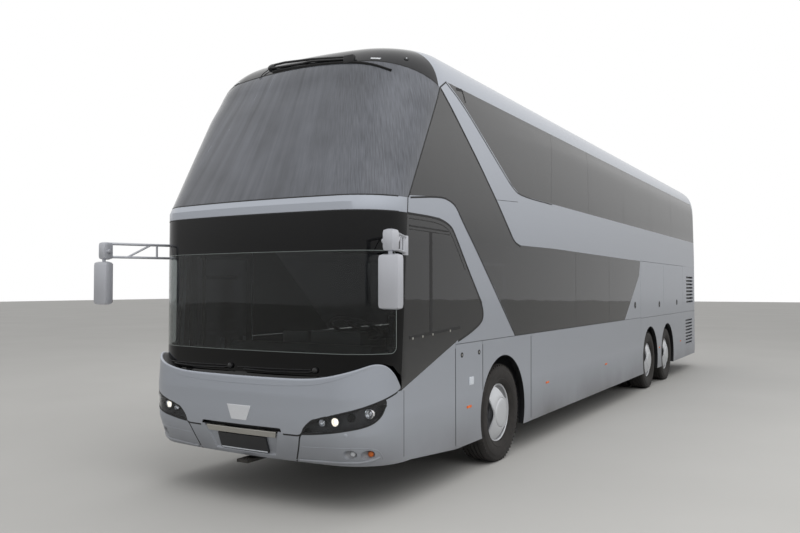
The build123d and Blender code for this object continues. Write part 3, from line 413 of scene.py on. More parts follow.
# Spark-eroded mould grain is 0.3 mm, drawn as 2 mm so that it shows
moulded_black = mottled("black_moulded_plastic", "1a1b1d", "26272a", 0.002, 0.5, relief=0.0002)
SEAT_SETS = (("seats_upper", 1), ("seats_upper", -1), ("seats_lower", 1), ("seats_lower", -1))
for node, hand in SEAT_SETS:
    places = [pair for pair in islands(node) if (pair[0].x + pair[1].x) * hand > 0]
    pads = bmesh.new()
    stands = bmesh.new()
    for low, high in places:
        width = high.x - low.x
        count = 2 if width > 0.7 else 1
        y, z = low.y, low.z
        middle = (low.x + high.x) / 2
        box_into(stands, (middle - 0.16, y + 0.09, z), (middle + 0.16, y + 0.33, z + 0.018), 0.004)
        box_into(stands, (middle - 0.05, y + 0.12, z + 0.01), (middle + 0.05, y + 0.30, z + 0.35), 0.012)
        box_into(stands, (low.x + 0.02, y + 0.07, z + 0.335), (high.x - 0.02, y + 0.12, z + 0.372), 0.008)
        box_into(stands, (low.x + 0.02, y + 0.33, z + 0.335), (high.x - 0.02, y + 0.38, z + 0.372), 0.008)
        for place in range(count):
            x = middle + (place - (count - 1) / 2) * width / count
            turn = Matrix.Translation((x, y + 0.215, z + 0.415)) @ Matrix.Rotation(math.radians(90), 4, "X")
            moved_into(pads, cushion_pad, turn)
            lean = Matrix.Translation((x, y + 0.425, z + 0.435)) @ Matrix.Rotation(-BACK_TILT, 4, "X")
            moved_into(pads, back_pad, lean)
            slab_into(stands, *([lean @ Vector((x, y_back, z_back)) for x, z_back in BACK_SHELL]
                                for y_back in SHELL_Y))
        for x in (low.x + 0.012, high.x - 0.012):
            box_into(stands, (x - 0.012, y + 0.10, z + 0.60), (x + 0.012, y + 0.47, z + 0.63), 0.006)
            tube_into(stands, ((x, y + 0.40, z + 0.36), (x, y + 0.44, z + 0.60)), 0.011, 8)
    name = node + ("_left" if hand > 0 else "_right")
    cloth_piece = finished(name + "_pads", pads, "body", "seat_fabric", plush, sharp=60)
    stand_piece = finished(name + "_stands", stands, "body", "black_plastic", moulded_black)
    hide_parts(node)
    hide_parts(node)

# Driver's place
# A dashboard and a steering wheel moulded in black grained plastic. An instrument hood, a screen and rows of
# switches stand on the dashboard; the wheel is the CAD's own ring on its column.
for node in ("dashboard", "steering_wheel"):
    coat(node, moulded_black)
DASH_TOP = 1.33
screen_glass = mottled("black_display_glass", "050608", "0b0d10", 0.05, 0.08, spread=0.02)
form = bmesh.new()
box_into(form, (0.36, -6.44, DASH_TOP - 0.02), (0.88, -6.30, DASH_TOP + 0.11), 0.03)
box_into(form, (0.39, -6.305, DASH_TOP + 0.005), (0.85, -6.296, DASH_TOP + 0.09), 0.004, finish=1)
box_into(form, (0.02, -6.40, DASH_TOP - 0.03), (0.30, -6.33, DASH_TOP + 0.10), 0.012)
box_into(form, (0.04, -6.334, DASH_TOP - 0.01), (0.28, -6.325, DASH_TOP + 0.085), 0.003, finish=1)
for row in range(2):
    for column in range(7):
        x = -0.40 + column * 0.055
        z = DASH_TOP - 0.055 - row * 0.045
        box_into(form, (x, -6.305 + row * 0.006, z), (x + 0.042, -6.26 + row * 0.006, z + 0.03), 0.004)
finished("dashboard_instruments", form, "body", "black_plastic", moulded_black, screen_glass)

# Engine
# An upright straight six of painted iron under aluminium rocker covers, with its belts towards the lid,
# exhaust and turbocharger on one side, inlet, alternator and oil filters on the other; bolted to the rails.
# The skin of a sand casting is 3 mm from grain to grain
sand_cast = mottled("sand_cast_aluminium", "7a7b7d", "949597", 0.003, 0.5, metallic=0.6, relief=0.0003)
CYLINDERS = [5.80 + number * 0.137 for number in range(6)]
form = bmesh.new()
box_into(form, (-0.17, 5.80, 0.625), (0.17, 6.60, 0.80), 0.025, finish=1)
box_into(form, (-0.22, 5.72, 0.78), (0.22, 6.66, 1.14), 0.015)
box_into(form, (-0.20, 5.74, 1.14), (0.20, 6.62, 1.27), 0.012)
box_into(form, (-0.25, 6.62, 0.72), (0.25, 6.68, 1.20), 0.012, finish=2)
for y in CYLINDERS:
    box_into(form, (-0.15, y - 0.055, 1.265), (0.15, y + 0.055, 1.35), 0.018, finish=2)
    for x in (-0.235, 0.225):
        box_into(form, (x, y - 0.012, 0.82), (x + 0.012, y + 0.012, 1.10), 0.004)
    for x in (-0.11, 0.11):
        turn_into(form, ((0.0, 0.0), (0.010, 0.0), (0.010, 0.008), (0.0, 0.010)), (x, y, 1.349), (0, 0, 1), 6)
    tube_into(form, ((-0.195, y, 1.20), (-0.255, y, 1.20), (-0.295, y + 0.02, 1.19)), 0.022, 12)
    tube_into(form, ((0.195, y, 1.21), (0.255, y, 1.21)), 0.024, 12, finish=2)
tube_into(form, ((-0.295, 5.78, 1.19), (-0.295, 6.52, 1.19)), 0.034, 16)
box_into(form, (0.240, 5.77, 1.15), (0.320, 6.53, 1.27), 0.028, finish=2)
BACKWARDS = (0, 1, 0)
# Flywheel housing
turn_into(form, ((0.0, 0.0), (0.24, 0.0), (0.27, 0.02), (0.27, 0.06), (0.20, 0.07), (0.0, 0.07)), (0, 5.655, 0.93),
          BACKWARDS, 48, 2)
# Turbocharger: two snail housings on one shaft, with the exhaust pipe below
turn_into(form, ((0.0, 0.0), (0.050, 0.0), (0.078, 0.020), (0.085, 0.045), (0.078, 0.070), (0.040, 0.085),
                 (0.040, 0.115), (0.066, 0.125), (0.074, 0.150), (0.060, 0.175), (0.0, 0.178)), (-0.300, 6.03, 1.08),
          BACKWARDS, 32)
tube_into(form, ((-0.300, 6.05, 1.00), (-0.300, 6.05, 0.86), (-0.300, 6.15, 0.80), (-0.300, 6.55, 0.78)), 0.040, 16)
# Air cleaner with its hose to the turbocharger
turn_into(form, ((0.0, 0.0), (0.090, 0.0), (0.098, 0.010), (0.098, 0.300), (0.090, 0.312), (0.040, 0.316),
                 (0.0, 0.316)), (-0.285, 5.68, 1.395), BACKWARDS, 40, finish=1)
tube_into(form, ((-0.285, 5.99, 1.395), (-0.285, 6.16, 1.395), (-0.292, 6.24, 1.33), (-0.300, 6.24, 1.16)), 0.040,
          16, finish=1)
# Alternator and oil filters
turn_into(form, ((0.0, 0.0), (0.060, 0.0), (0.072, 0.015), (0.072, 0.130), (0.050, 0.145), (0.0, 0.145)),
          (0.300, 6.52, 1.03), BACKWARDS, 32, finish=2)
for y in (5.96, 6.09):
    turn_into(form, ((0.0, 0.0), (0.040, 0.0), (0.046, 0.010), (0.046, 0.220), (0.030, 0.235), (0.0, 0.235)),
              (0.280, y, 0.66), (0, 0, 1), 28, finish=1)
# Pulleys and the belt over them
PULLEYS = ((0.0, 0.84, 0.105), (0.300, 1.03, 0.042), (0.0, 1.12, 0.075), (-0.170, 1.02, 0.040))
for x, z, radius in PULLEYS:
    turn_into(form, ((0.0, 0.0), (radius, 0.0), (radius, 0.006), (radius - 0.008, 0.010), (radius - 0.008, 0.026),
                     (radius, 0.030), (radius, 0.036), (radius * 0.4, 0.036), (radius * 0.3, 0.046), (0.0, 0.048)),
              (x, 6.70, z), BACKWARDS, 40)
belt = [(0.0, 0.735), (0.075, 0.755), (0.338, 1.010), (0.340, 1.045), (0.300, 1.072), (0.020, 1.193),
        (-0.040, 1.185), (-0.205, 1.035), (-0.205, 1.000), (-0.075, 0.760), (0.0, 0.735)]
tube_into(form, [(x, 6.718, z) for x, z in belt], 0.007, 8, finish=1)
# Coolant hose over the top
tube_into(form, ((0.08, 6.60, 1.30), (0.08, 6.68, 1.37), (0.16, 6.74, 1.38), (0.33, 6.74, 1.38)), 0.024, 14,
          finish=1)
engine = finished("engine_dressed", form, "body", "cast_iron", cast_grey, waxed_steel, sand_cast, sharp=40)
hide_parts("engine")

# Wheels
# Steel disc wheels behind pressed steel covers in silver lacquer, each cover clipped over the rim with
# three crescent openings for the air; radial tyres with four grooves round the tread.
TYRE_RADIUS = 0.505
TYRE_WIDTH = 0.290
LUG_COUNT = 64
TYRE_SECTION = [(0.294, 0.070), (0.297, 0.052), (0.305, 0.037), (0.315, 0.025), (0.328, 0.015), (0.342, 0.008),
                (0.350, 0.003), (0.356, 0.0055), (0.362, 0.002), (0.410, 0.000), (0.444, 0.002), (0.448, 0.005),
                (0.470, 0.012), (0.486, 0.018), (0.496, 0.026), (0.5035, 0.038), (0.505, 0.052), (0.505, 0.072),
                (0.493, 0.075), (0.493, 0.083), (0.505, 0.086), (0.505, 0.116), (0.493, 0.119), (0.493, 0.127),
                (0.505, 0.130)]
# Carbon-black rubber, greyed by dry dust in patches 60 mm across
tyre_rubber = mottled("road_worn_tyre_rubber", "1f1d1c", "302d2b", 0.06, 0.78, relief=0.0008)
# Silver lacquer over pressed steel, with a fine metallic grain drawn as 2 mm
wheel_silver = mottled("silver_lacquered_pressed_steel", "c3c5c9", "d0d2d5", 0.002, 0.34, metallic=0.45,
                       spread=0.04)
# The steel wheel behind each cover, and the deep rings of the fog lamp pockets: the same lacquer made darker, which
# paints the shade in these hollows; on the wheel it is also dulled by brake dust in 30 mm patches
dust_and_shade_steel = mottled("brake_dusted_wheel_lacquer", "85868a", "a3a4a7", 0.03, 0.45, metallic=0.35)

lug_tree = bpy.data.node_groups.new("shoulder_lugs", "GeometryNodeTree")
lug_tree.interface.new_socket("Geometry", in_out="OUTPUT", socket_type="NodeSocketGeometry")
lug_inputs = {}
for name, kind in (("Count", "NodeSocketInt"), ("Radius", "NodeSocketFloat"), ("Size", "NodeSocketVector")):
    lug_inputs[name] = lug_tree.interface.new_socket(name, in_out="INPUT", socket_type=kind).identifier
asked = add(lug_tree, "NodeGroupInput")
circle = add(lug_tree, "GeometryNodeMeshCircle", {"Vertices": asked.outputs["Count"],
                                                  "Radius": asked.outputs["Radius"]})
block = add(lug_tree, "GeometryNodeMeshCube", {"Size": asked.outputs["Size"]})
spot = add(lug_tree, "GeometryNodeInputPosition")
facing = add(lug_tree, "FunctionNodeAlignEulerToVector", {"Vector": spot.outputs[0]}, axis="X", pivot_axis="Z")
spread = add(lug_tree, "GeometryNodeInstanceOnPoints", {"Points": circle.outputs["Mesh"],
                                                        "Instance": block.outputs["Mesh"],
                                                        "Rotation": facing.outputs[0]})
real = add(lug_tree, "GeometryNodeRealizeInstances", {"Geometry": spread.outputs[0]})
coated = add(lug_tree, "GeometryNodeSetMaterial", {"Geometry": real.outputs[0], "Material": tyre_rubber})
add(lug_tree, "NodeGroupOutput", {"Geometry": coated.outputs[0]})
lug_seed = link("lug_seed", bpy.data.meshes.new("lug_seed"))
lugs = lug_seed.modifiers.new("lugs", "NODES")
lugs.node_group = lug_tree
lugs[lug_inputs["Count"]] = LUG_COUNT
lugs[lug_inputs["Radius"]] = 0.480
lugs[lug_inputs["Size"]] = (0.036, 0.013, 0.024)
lug_ring = bpy.data.meshes.new_from_object(lug_seed.evaluated_get(bpy.context.evaluated_depsgraph_get()))
lug_seed.modifiers.clear()
bpy.data.objects.remove(lug_seed)

COVER_STEPS = 120
COVER_CAP = [(0.0, -0.014), (0.030, -0.014), (0.105, -0.012), (0.138, -0.008), (0.148, -0.003), (0.150, 0.003),
             (0.153, 0.003), (0.156, -0.001), (0.160, -0.001)]
DOME_START = COVER_CAP[-1][0]
COVER_RIM = [(0.287, 0.052), (0.291, 0.046), (0.296, 0.044), (0.2995, 0.047), (0.300, 0.058)]
SLIT_FAR = 0.282
SLIT_DEEP = 0.112
SLIT_SPAN = math.radians(84)
RIM_SECTION = [(0.0, 0.066), (0.095, 0.066), (0.104, 0.076), (0.118, 0.092), (0.236, 0.092), (0.262, 0.080),
               (0.276, 0.066), (0.286, 0.060), (0.291, 0.064), (0.291, 0.096), (0.268, 0.130), (0.262, 0.200),
               (0.288, 0.250), (0.291, 0.268), (0.284, 0.270), (0.256, 0.215), (0.256, 0.130), (0.240, 0.102),
               (0.0, 0.102)]


def dome_depth(radius):
    """Depth of the domed cover behind the tyre's face."""
    return -0.001 + 0.053 * max(0.0, (radius - DOME_START) / 0.127) ** 1.35


def wheel_cover_into(form, centre, hand, start):
    """Adds a domed cover with three crescent openings, each with a turned-in edge; start turns the first."""
    rings = []
    opened = []
    for step in range(COVER_STEPS):
        angle = 2 * math.pi * step / COVER_STEPS
        near = min(abs((angle - start - turn + math.pi) % (2 * math.pi) - math.pi)
                   for turn in (0, 2 * math.pi / 3, 4 * math.pi / 3))
        gap = SLIT_DEEP * math.cos(math.pi * near / SLIT_SPAN) if near < SLIT_SPAN / 2 else 0
        opened.append(gap > 0.0008)
        gap = max(gap, 0.003)
        turned = min(0.014, gap * 0.6)
        near_edge = SLIT_FAR - gap
        flank = [DOME_START + (near_edge - DOME_START) * share for share in (0.2, 0.4, 0.6, 0.8, 1.0)]
        line = COVER_CAP + [(radius, dome_depth(radius)) for radius in flank]
        line += [(near_edge + turned * 0.2, dome_depth(near_edge) + turned),
                 (SLIT_FAR - turned * 0.2, dome_depth(SLIT_FAR) + turned * 0.6), (SLIT_FAR, dome_depth(SLIT_FAR))]
        line += COVER_RIM
        rings.append([form.verts.new(Vector(centre) + Vector((hand * -depth, math.cos(angle) * radius,
                                                               math.sin(angle) * radius)))
                      for radius, depth in line[1:]])
    hub = form.verts.new(Vector(centre) + Vector((hand * -COVER_CAP[0][1], 0, 0)))
    slit = len(COVER_CAP) + 4
    for step in range(COVER_STEPS):
        after = (step + 1) % COVER_STEPS
        form.faces.new((hub, rings[step][0], rings[after][0]))
        for row in range(len(rings[0]) - 1):
            if row == slit and (opened[step] or opened[after]):
                continue
            form.faces.new((rings[step][row], rings[step][row + 1], rings[after][row + 1], rings[after][row]))


def turned_to(piece, side):
    """Turns an open sheet so that most of its faces look to one side."""
    if sum(1 if face.normal.dot(side) > 0 else -1 for face in piece.data.polygons) < 0:
        piece.data.flip_normals()
    return piece


def walled(piece, thickness):
    """Gives a sheet its thickness, behind its face."""
    wall = piece.modifiers.new("wall", "SOLIDIFY")
    wall.thickness = thickness
    wall.offset = -1


AXLES = {"front": -4.33, "drive": 2.38, "tag": 3.85}
TYRE_FACE = 1.245
TWIN_STEP = 0.330
SLIT_STARTS = {"front": math.radians(180), "drive": math.radians(157), "tag": math.radians(168)}
for axle, y in AXLES.items():
    for name, hand in (("left", 1), ("right", -1)):
        wheel = "wheel_%s_%s" % (axle, name)
        form = bmesh.new()
        for inset in (0.0, TWIN_STEP) if axle == "drive" else (0.0,):
            face_x = hand * (TYRE_FACE - inset)
            section = TYRE_SECTION + [(r, TYRE_WIDTH - depth) for r, depth in TYRE_SECTION[::-1]]
            section.append((0.290, TYRE_WIDTH - 0.070))
            section.append((0.290, 0.070))
            turn_into(form, section + section[:1], (face_x, y, TYRE_RADIUS), (-hand, 0, 0), 96)
            for depth in (0.026, TYRE_WIDTH - 0.026):
                turn = (Matrix.Translation((face_x - hand * depth, y, TYRE_RADIUS))
                        @ Matrix.Rotation(math.radians(90), 4, "Y"))
                moved_into(form, lug_ring, turn)
        tyre = finished("tyre_%s_%s_moulded" % (axle, name), form, wheel, "tyre", tyre_rubber, sharp=30)
        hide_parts("tyre_%s_%s" % (axle, name))
        form = bmesh.new()
        wheel_cover_into(form, (hand * TYRE_FACE, y, TYRE_RADIUS), hand, SLIT_STARTS[axle])
        cover = finished("wheel_cover_%s_%s" % (axle, name), form, wheel, "wheel_metal", wheel_silver, sharp=50)
        walled(turned_to(cover, (hand, 0, 0)), 0.0022)
        # The steel wheel is drawn darker than its cover: painted shade in the well behind the openings, with brake
        # dust
        form = bmesh.new()
        for inset in (0.0, TWIN_STEP) if axle == "drive" else (0.0,):
            turn_into(form, RIM_SECTION, (hand * (TYRE_FACE - inset), y, TYRE_RADIUS), (-hand, 0, 0), 72)
        rim = finished("rim_%s_%s_pressed" % (axle, name), form, wheel, "wheel_metal", dust_and_shade_steel, sharp=40)
        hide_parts("rim_%s_%s" % (axle, name))

# Body panels
# Aluminium and steel sheet on a tube frame, in two-coat silver metallic paint: a base with fine
# aluminium flake under clear lacquer. Inside, the walls are faced with grey felt.
silver, tree, shader, place = new_finish("silver_metallic_paint_sprayed")
# Flake is a tenth of a millimetre, drawn as 2 mm so that it shows; it makes the gloss grain alive
flake = add(tree, "ShaderNodeTexNoise", {"Vector": place, "Scale": 500.0, "Detail": 2.0})
drift = add(tree, "ShaderNodeTexNoise", {"Vector": place, "Scale": 0.9, "Detail": 3.0})
base = add(tree, "ShaderNodeMix", {6: srgb("a6abb4"), 7: srgb("b4b9c2"), 0: flake.outputs["Fac"]},
           data_type="RGBA")
# Road film greys the skirt over the 400 mm above its lower edge
height = add(tree, "ShaderNodeSeparateXYZ", {"Vector": place})
low = add(tree, "ShaderNodeMapRange", {"Value": height.outputs["Z"], "From Min": 0.80, "From Max": 0.33})
film = add(tree, "ShaderNodeMath", {0: low.outputs["Result"], 1: drift.outputs["Fac"]}, operation="MULTIPLY")
film_share = add(tree, "ShaderNodeMath", {0: film.outputs[0], 1: 0.8}, operation="MULTIPLY")
dusty = add(tree, "ShaderNodeMix", {6: base.outputs[2], 7: srgb("6d675f"), 0: film_share.outputs[0]},
            data_type="RGBA")
gloss = add(tree, "ShaderNodeMapRange", {"Value": flake.outputs["Fac"], "To Min": 0.26, "To Max": 0.38})
rough = add(tree, "ShaderNodeMath", {0: gloss.outputs["Result"], 1: film_share.outputs[0]}, operation="ADD")
fill(shader, {"Base Color": dusty.outputs[2], "Roughness": rough.outputs[0], "Metallic": 0.7,
              "Coat Weight": 0.25, "Coat Roughness": 0.05})
# Felt fibres are 0.05 mm, drawn as 3 mm so that they show
felt = mottled("grey_felt_lining_pressed", "3f4043", "55565a", 0.003, 0.92, relief=0.001)
# Glass primer is brushed on in streaks 4 mm wide
primer = mottled("black_glass_primer_brushed", "0c0c0e", "151618", 0.004, 0.45)


def smooth_copy(node, name, sharp=25, levels=(), station=None):
    """Copy of a CAD node's mesh, joined, cut at some levels and one station along, with curved faces smooth."""
    mesh = nodes[node].data.copy()
    mesh.materials.clear()
    mesh.name = name
    form = bmesh.new()
    form.from_mesh(mesh)
    bmesh.ops.remove_doubles(form, verts=form.verts, dist=WELD)
    cuts = [((0, 0, height), (0, 0, 1)) for height in levels]
    if station:
        cuts.append(((0, station, 0), (0, 1, 0)))
    for spot, across in cuts:
        whole = form.verts[:] + form.edges[:] + form.faces[:]
        bmesh.ops.bisect_plane(form, geom=whole, plane_co=spot, plane_no=across)
    for face in form.faces:
        face.material_index = 0
    smoothed(form, sharp)
    form.to_mesh(mesh)
    form.free()
    return link(name, mesh)


def dress(piece, node, slot, *materials):
    """Puts a finished copy in its CAD node's place, on the node's body."""
    for material in materials:
        piece.data.materials.append(material)
    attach(piece, nodes[node]["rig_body"])
    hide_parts(node)
    return piece


def faces_inwards(face):
    """True for a face that looks at the middle of the cabin."""
    centre = face.center
    spine = Vector((0, max(-5.4, min(6.0, centre.y)), max(1.3, min(2.9, centre.z))))
    return face.normal.dot(centre - spine) < -0.35 * (centre - spine).length


PANELS = ("side_upper_left", "side_upper_right", "side_lower_left", "side_lower_right", "roof", "rear_wall",
          "front_band", "front_bumper", "flap_left_front", "flap_left_rear", "flap_right_front",
          "flap_right_rear", "service_flap", "engine_lid")
GLAZED = ("glass_left", "glass_right", "rear_window", "windscreen_lower", "windscreen_upper", "front_dome")
DOOR_NODES = ("front_door", "middle_door")


def skin_of(meshes):
    """The coach's outer skin, to aim at."""
    form = bmesh.new()
    for mesh in meshes:
        form.from_mesh(mesh)
    found = BVHTree.FromBMesh(form)
    form.free()
    return found


# Between the straight screen and the roof the skin is one fair curve all round. Each point of a copy between
# these two levels is moved level, to or from the middle, on to that curve.
FAIR_LOW, FAIR_HIGH = 3.41, 3.67
FAIR_ROWS = 26
RISE_BELOW, RISE_ABOVE = 0.08, 0.05
FAIR_CUTS = tuple(FAIR_LOW + (FAIR_HIGH - FAIR_LOW) * step / 8 for step in range(9))
HEADING_STEP = math.radians(2.5)
HEADINGS = [HEADING_STEP * step for step in range(73)]
SPINE = (-4.95, 6.0)
bare_skin = skin_of([nodes[node].data for node in PANELS + GLAZED])


def reach(heading, z):
    """Distance of the skin from the spine in a direction, 0 for ahead and a half turn for the rear."""
    root = Vector((0, SPINE[0] if heading < math.radians(91) else SPINE[1], z))
    away = Vector((math.sin(heading), -math.cos(heading), 0))
    spot = bare_skin.ray_cast(root + away * 4, -away)[0]
    return (spot - root).length if spot else None


fairing = []
for heading in HEADINGS:
    lower, low, high, higher = (reach(heading, z) for z in (FAIR_LOW - RISE_BELOW, FAIR_LOW, FAIR_HIGH,
                                                            FAIR_HIGH + RISE_ABOVE))
    row = []
    for step in range(FAIR_ROWS + 1):
        share = step / FAIR_ROWS
        now = reach(heading, FAIR_LOW + (FAIR_HIGH - FAIR_LOW) * share)
        if None in (lower, low, high, higher, now):
            break
        span = FAIR_HIGH - FAIR_LOW
        square, cube = share ** 2, share ** 3
        fair_here = ((2 * cube - 3 * square + 1) * low
                     + (cube - 2 * square + share) * span * (low - lower) / RISE_BELOW
                     + (3 * square - 2 * cube) * high
                     + (cube - square) * span * (higher - high) / RISE_ABOVE)
        row.append(fair_here - now)
    whole = len(row) > FAIR_ROWS and max(abs(step) for step in row) < 0.03
    fairing.append(row if whole else (fairing[-1] if fairing else [0.0] * (FAIR_ROWS + 1)))


def fair(piece):
    """Moves a copy's points between the two levels on to the fair curve."""
    for vert in piece.data.vertices:
        if not FAIR_LOW < vert.co.z < FAIR_HIGH:
            continue
        root_y = max(SPINE[0], min(SPINE[1], vert.co.y))
        away = Vector((vert.co.x, vert.co.y - root_y, 0)).normalized()
        column = math.atan2(abs(away.x), -away.y) / HEADING_STEP
        row = (vert.co.z - FAIR_LOW) / (FAIR_HIGH - FAIR_LOW) * FAIR_ROWS
        left, low = min(len(HEADINGS) - 2, int(column)), min(FAIR_ROWS - 1, int(row))
        across, up = column - left, row - low
        move = ((fairing[left][low] * (1 - across) + fairing[left + 1][low] * across) * (1 - up)
                + (fairing[left][low + 1] * (1 - across) + fairing[left + 1][low + 1] * across) * up)
        vert.co += away * move
    return piece


ARCHES = ((-4.33, 0.525), (2.38, 0.525), (3.85, 0.525))
side_glass = skin_of([nodes["glass_left"].data, nodes["glass_right"].data])
painted = {}
shells = {}
for node in PANELS:
    tall = node.startswith(("side_upper", "roof", "rear_wall"))
    piece = fair(smooth_copy(node, node + "_painted", sharp=50 if node == "front_bumper" else 25,
                             levels=FAIR_CUTS if tall else ()))
    painted[node] = shells[node] = dress(piece, node, "body_paint", silver, felt, primer)
    for face in piece.data.polygons:
        centre, normal = face.center, face.normal
        in_arch = abs(normal.x) < 0.3 and any((centre.y - y) ** 2 + (centre.z - z) ** 2 < 0.62 ** 2
                                              for y, z in ARCHES)
        if in_arch and node != "front_bumper":
            face.material_index = 2
        elif node.startswith("side") and side_glass.ray_cast(centre + normal * 0.0005, normal, 0.05)[0] is not None:
            face.material_index = 2
        elif faces_inwards(face):
            face.material_index = 1

# Grilles
# Pressed aluminium louvres in body paint, screwed in from inside, with a black sheet behind them that paints the
# shade in their gaps.
coat("grilles", silver)
form = bmesh.new()
for low, high in islands("grilles"):
    inside = 1.228 if low.x > 0 else -1.228
    box_into(form, (inside - 0.003, low.y + 0.02, low.z + 0.02), (inside + 0.003, high.y - 0.02, high.z - 0.02),
             0.001)
finished("grille_meshes", form, "body", "black_plastic", primer)

# Glazing
# Dark grey laminated and toughened glass, 12 mm thick and glued flush with the panels. It passes about
# an eighth of the light, a heat-reflecting coat makes it mirror the sky more than plain glass does, and
# black enamel round its edge hides the glue.
tinted, tree, shader, place = new_finish("grey_tinted_toughened_glass")
# Toughening leaves a slow ripple in the sheet, some 400 mm from crest to crest
ripple = add(tree, "ShaderNodeTexNoise", {"Vector": place, "Scale": 2.5, "Detail": 1.0})
wave = add(tree, "ShaderNodeBump", {"Height": ripple.outputs["Fac"], "Strength": 0.05, "Distance": 0.02})
fill(shader, {"Normal": wave.outputs["Normal"], "Base Color": srgb("2c2d30"), "Roughness": 0.015,
              "IOR": 1.72, "Transmission Weight": 0.8})
for node in ("glass_left", "glass_right", "rear_window"):
    shells[node] = dress(fair(smooth_copy(node, node + "_pane", levels=FAIR_CUTS)), node, "glass", tinted)

# The lower screen is clear in the middle, with black enamel fired on round it and a pale edge 4 mm wide
# where the enamel begins. Its corners are rounded; near the coach's corner x changes 2.5 times as slowly.
clear, tree, shader, place = new_finish("clear_laminated_glass_with_enamel")
where = add(tree, "ShaderNodeSeparateXYZ", {"Vector": place})
aside = add(tree, "ShaderNodeMath", {0: where.outputs["X"]}, operation="ABSOLUTE")
past = add(tree, "ShaderNodeMath", {0: aside.outputs[0], 1: 1.236}, operation="SUBTRACT")
past = add(tree, "ShaderNodeMath", {0: past.outputs[0], 1: 0.0}, operation="MAXIMUM")
past = add(tree, "ShaderNodeMath", {0: past.outputs[0], 1: 2.5}, operation="MULTIPLY")
level = add(tree, "ShaderNodeMath", {0: where.outputs["Z"], 1: 1.695}, operation="SUBTRACT")
level = add(tree, "ShaderNodeMath", {0: level.outputs[0]}, operation="ABSOLUTE")
level = add(tree, "ShaderNodeMath", {0: level.outputs[0], 1: 0.365}, operation="SUBTRACT")
level = add(tree, "ShaderNodeMath", {0: level.outputs[0], 1: 0.0}, operation="MAXIMUM")
corner = add(tree, "ShaderNodeCombineXYZ", {"X": past.outputs[0], "Z": level.outputs[0]})
beyond = add(tree, "ShaderNodeVectorMath", {0: corner.outputs[0]}, operation="LENGTH")
enamel = add(tree, "ShaderNodeMath", {0: beyond.outputs["Value"], 1: 0.050}, operation="GREATER_THAN")
edge = add(tree, "ShaderNodeMath", {0: beyond.outputs["Value"], 1: 0.046}, operation="GREATER_THAN")
tone = add(tree, "ShaderNodeMix", {6: srgb("b9bebd"), 7: srgb("7d8583"), 0: edge.outputs[0]}, data_type="RGBA")
tone = add(tree, "ShaderNodeMix", {6: tone.outputs[2], 7: srgb("060607"), 0: enamel.outputs[0]}, data_type="RGBA")
let_through = add(tree, "ShaderNodeMath", {0: 1.0, 1: edge.outputs[0]}, operation="SUBTRACT")
# The index is down from 1.5, so that the black mirrors as little of the pale yard as the real one
fill(shader, {"Base Color": tone.outputs[2], "Transmission Weight": let_through.outputs[0], "Roughness": 0.015,
              "IOR": 1.38})
shells["windscreen_lower"] = dress(smooth_copy("windscreen_lower", "windscreen_lower_pane"), "windscreen_lower",
                                   "glass", clear)

# The upper screen is coloured mid grey as a painted reflection of the sky, dusty and brushed, with streaks dried
# down it
reflection_painted_glass, tree, shader, place = new_finish("laminated_glass_with_dusty_sun_film")
where = add(tree, "ShaderNodeSeparateXYZ", {"Vector": place})
# Turned about a point 5.2 m back, so that streaks keep their width round the corners
behind = add(tree, "ShaderNodeMath", {0: -5.2, 1: where.outputs["Y"]}, operation="SUBTRACT")
heading = add(tree, "ShaderNodeMath", {0: where.outputs["X"], 1: behind.outputs[0]}, operation="ARCTAN2")
along = add(tree, "ShaderNodeMath", {0: heading.outputs[0], 1: 1.4}, operation="MULTIPLY")
on_sheet = add(tree, "ShaderNodeCombineXYZ", {"X": along.outputs[0], "Z": where.outputs["Z"]})
# Fine brush marks 8 mm wide and 150 mm long, and runs 60 mm wide that reach most of the way down
marks = add(tree, "ShaderNodeMapping", {"Vector": on_sheet.outputs[0], "Scale": (110.0, 1.0, 7.0)})
brushing = add(tree, "ShaderNodeTexNoise", {"Vector": marks.outputs["Vector"], "Scale": 1.0, "Detail": 4.0})
runs = add(tree, "ShaderNodeMapping", {"Vector": on_sheet.outputs[0], "Scale": (11.0, 1.0, 0.8)})
run = add(tree, "ShaderNodeTexNoise", {"Vector": runs.outputs["Vector"], "Scale": 1.0, "Detail": 3.0})
# The brush marks show most on the driver's third, the dried runs on the far one
brushed_share = add(tree, "ShaderNodeMapRange", {"Value": heading.outputs[0], "From Min": 0.1, "From Max": 0.6})
brushed_marks = add(tree, "ShaderNodeMapRange", {"Value": brushing.outputs["Fac"], "From Min": 0.20,
                                                 "From Max": 0.95})
run_share = add(tree, "ShaderNodeMapRange", {"Value": run.outputs["Fac"], "From Min": 0.20, "From Max": 0.85})
worn = add(tree, "ShaderNodeMix", {2: run_share.outputs["Result"], 3: brushed_marks.outputs["Result"],
                                   0: brushed_share.outputs["Result"]})
# Soft clouds about 0.5 m across lighten parts of the sheet
cloud = add(tree, "ShaderNodeTexNoise", {"Vector": on_sheet.outputs[0], "Scale": 2.0, "Detail": 3.0})
clouded = add(tree, "ShaderNodeMapRange", {"Value": cloud.outputs["Fac"], "From Min": 0.35, "From Max": 0.70,
                                           "To Min": -0.15, "To Max": 0.30})
worn = add(tree, "ShaderNodeMath", {0: worn.outputs[0], 1: clouded.outputs["Result"]}, operation="ADD")
# Both greys paint the sky's reflection; the marks and clouds move the sheet between them
tone = add(tree, "ShaderNodeMix", {6: srgb("4e5055"), 7: srgb("767981"), 0: worn.outputs[0]}, data_type="RGBA")
matt = add(tree, "ShaderNodeMapRange", {"Value": worn.outputs[0], "To Min": 0.10, "To Max": 0.30})
fill(shader, {"Base Color": tone.outputs[2], "Roughness": matt.outputs["Result"], "IOR": 1.45,
              "Transmission Weight": 0.12})
shells["windscreen_upper"] = dress(fair(smooth_copy("windscreen_upper", "windscreen_upper_pane", sharp=50,
                                                    levels=FAIR_CUTS)), "windscreen_upper", "glass", reflection_painted_glass)

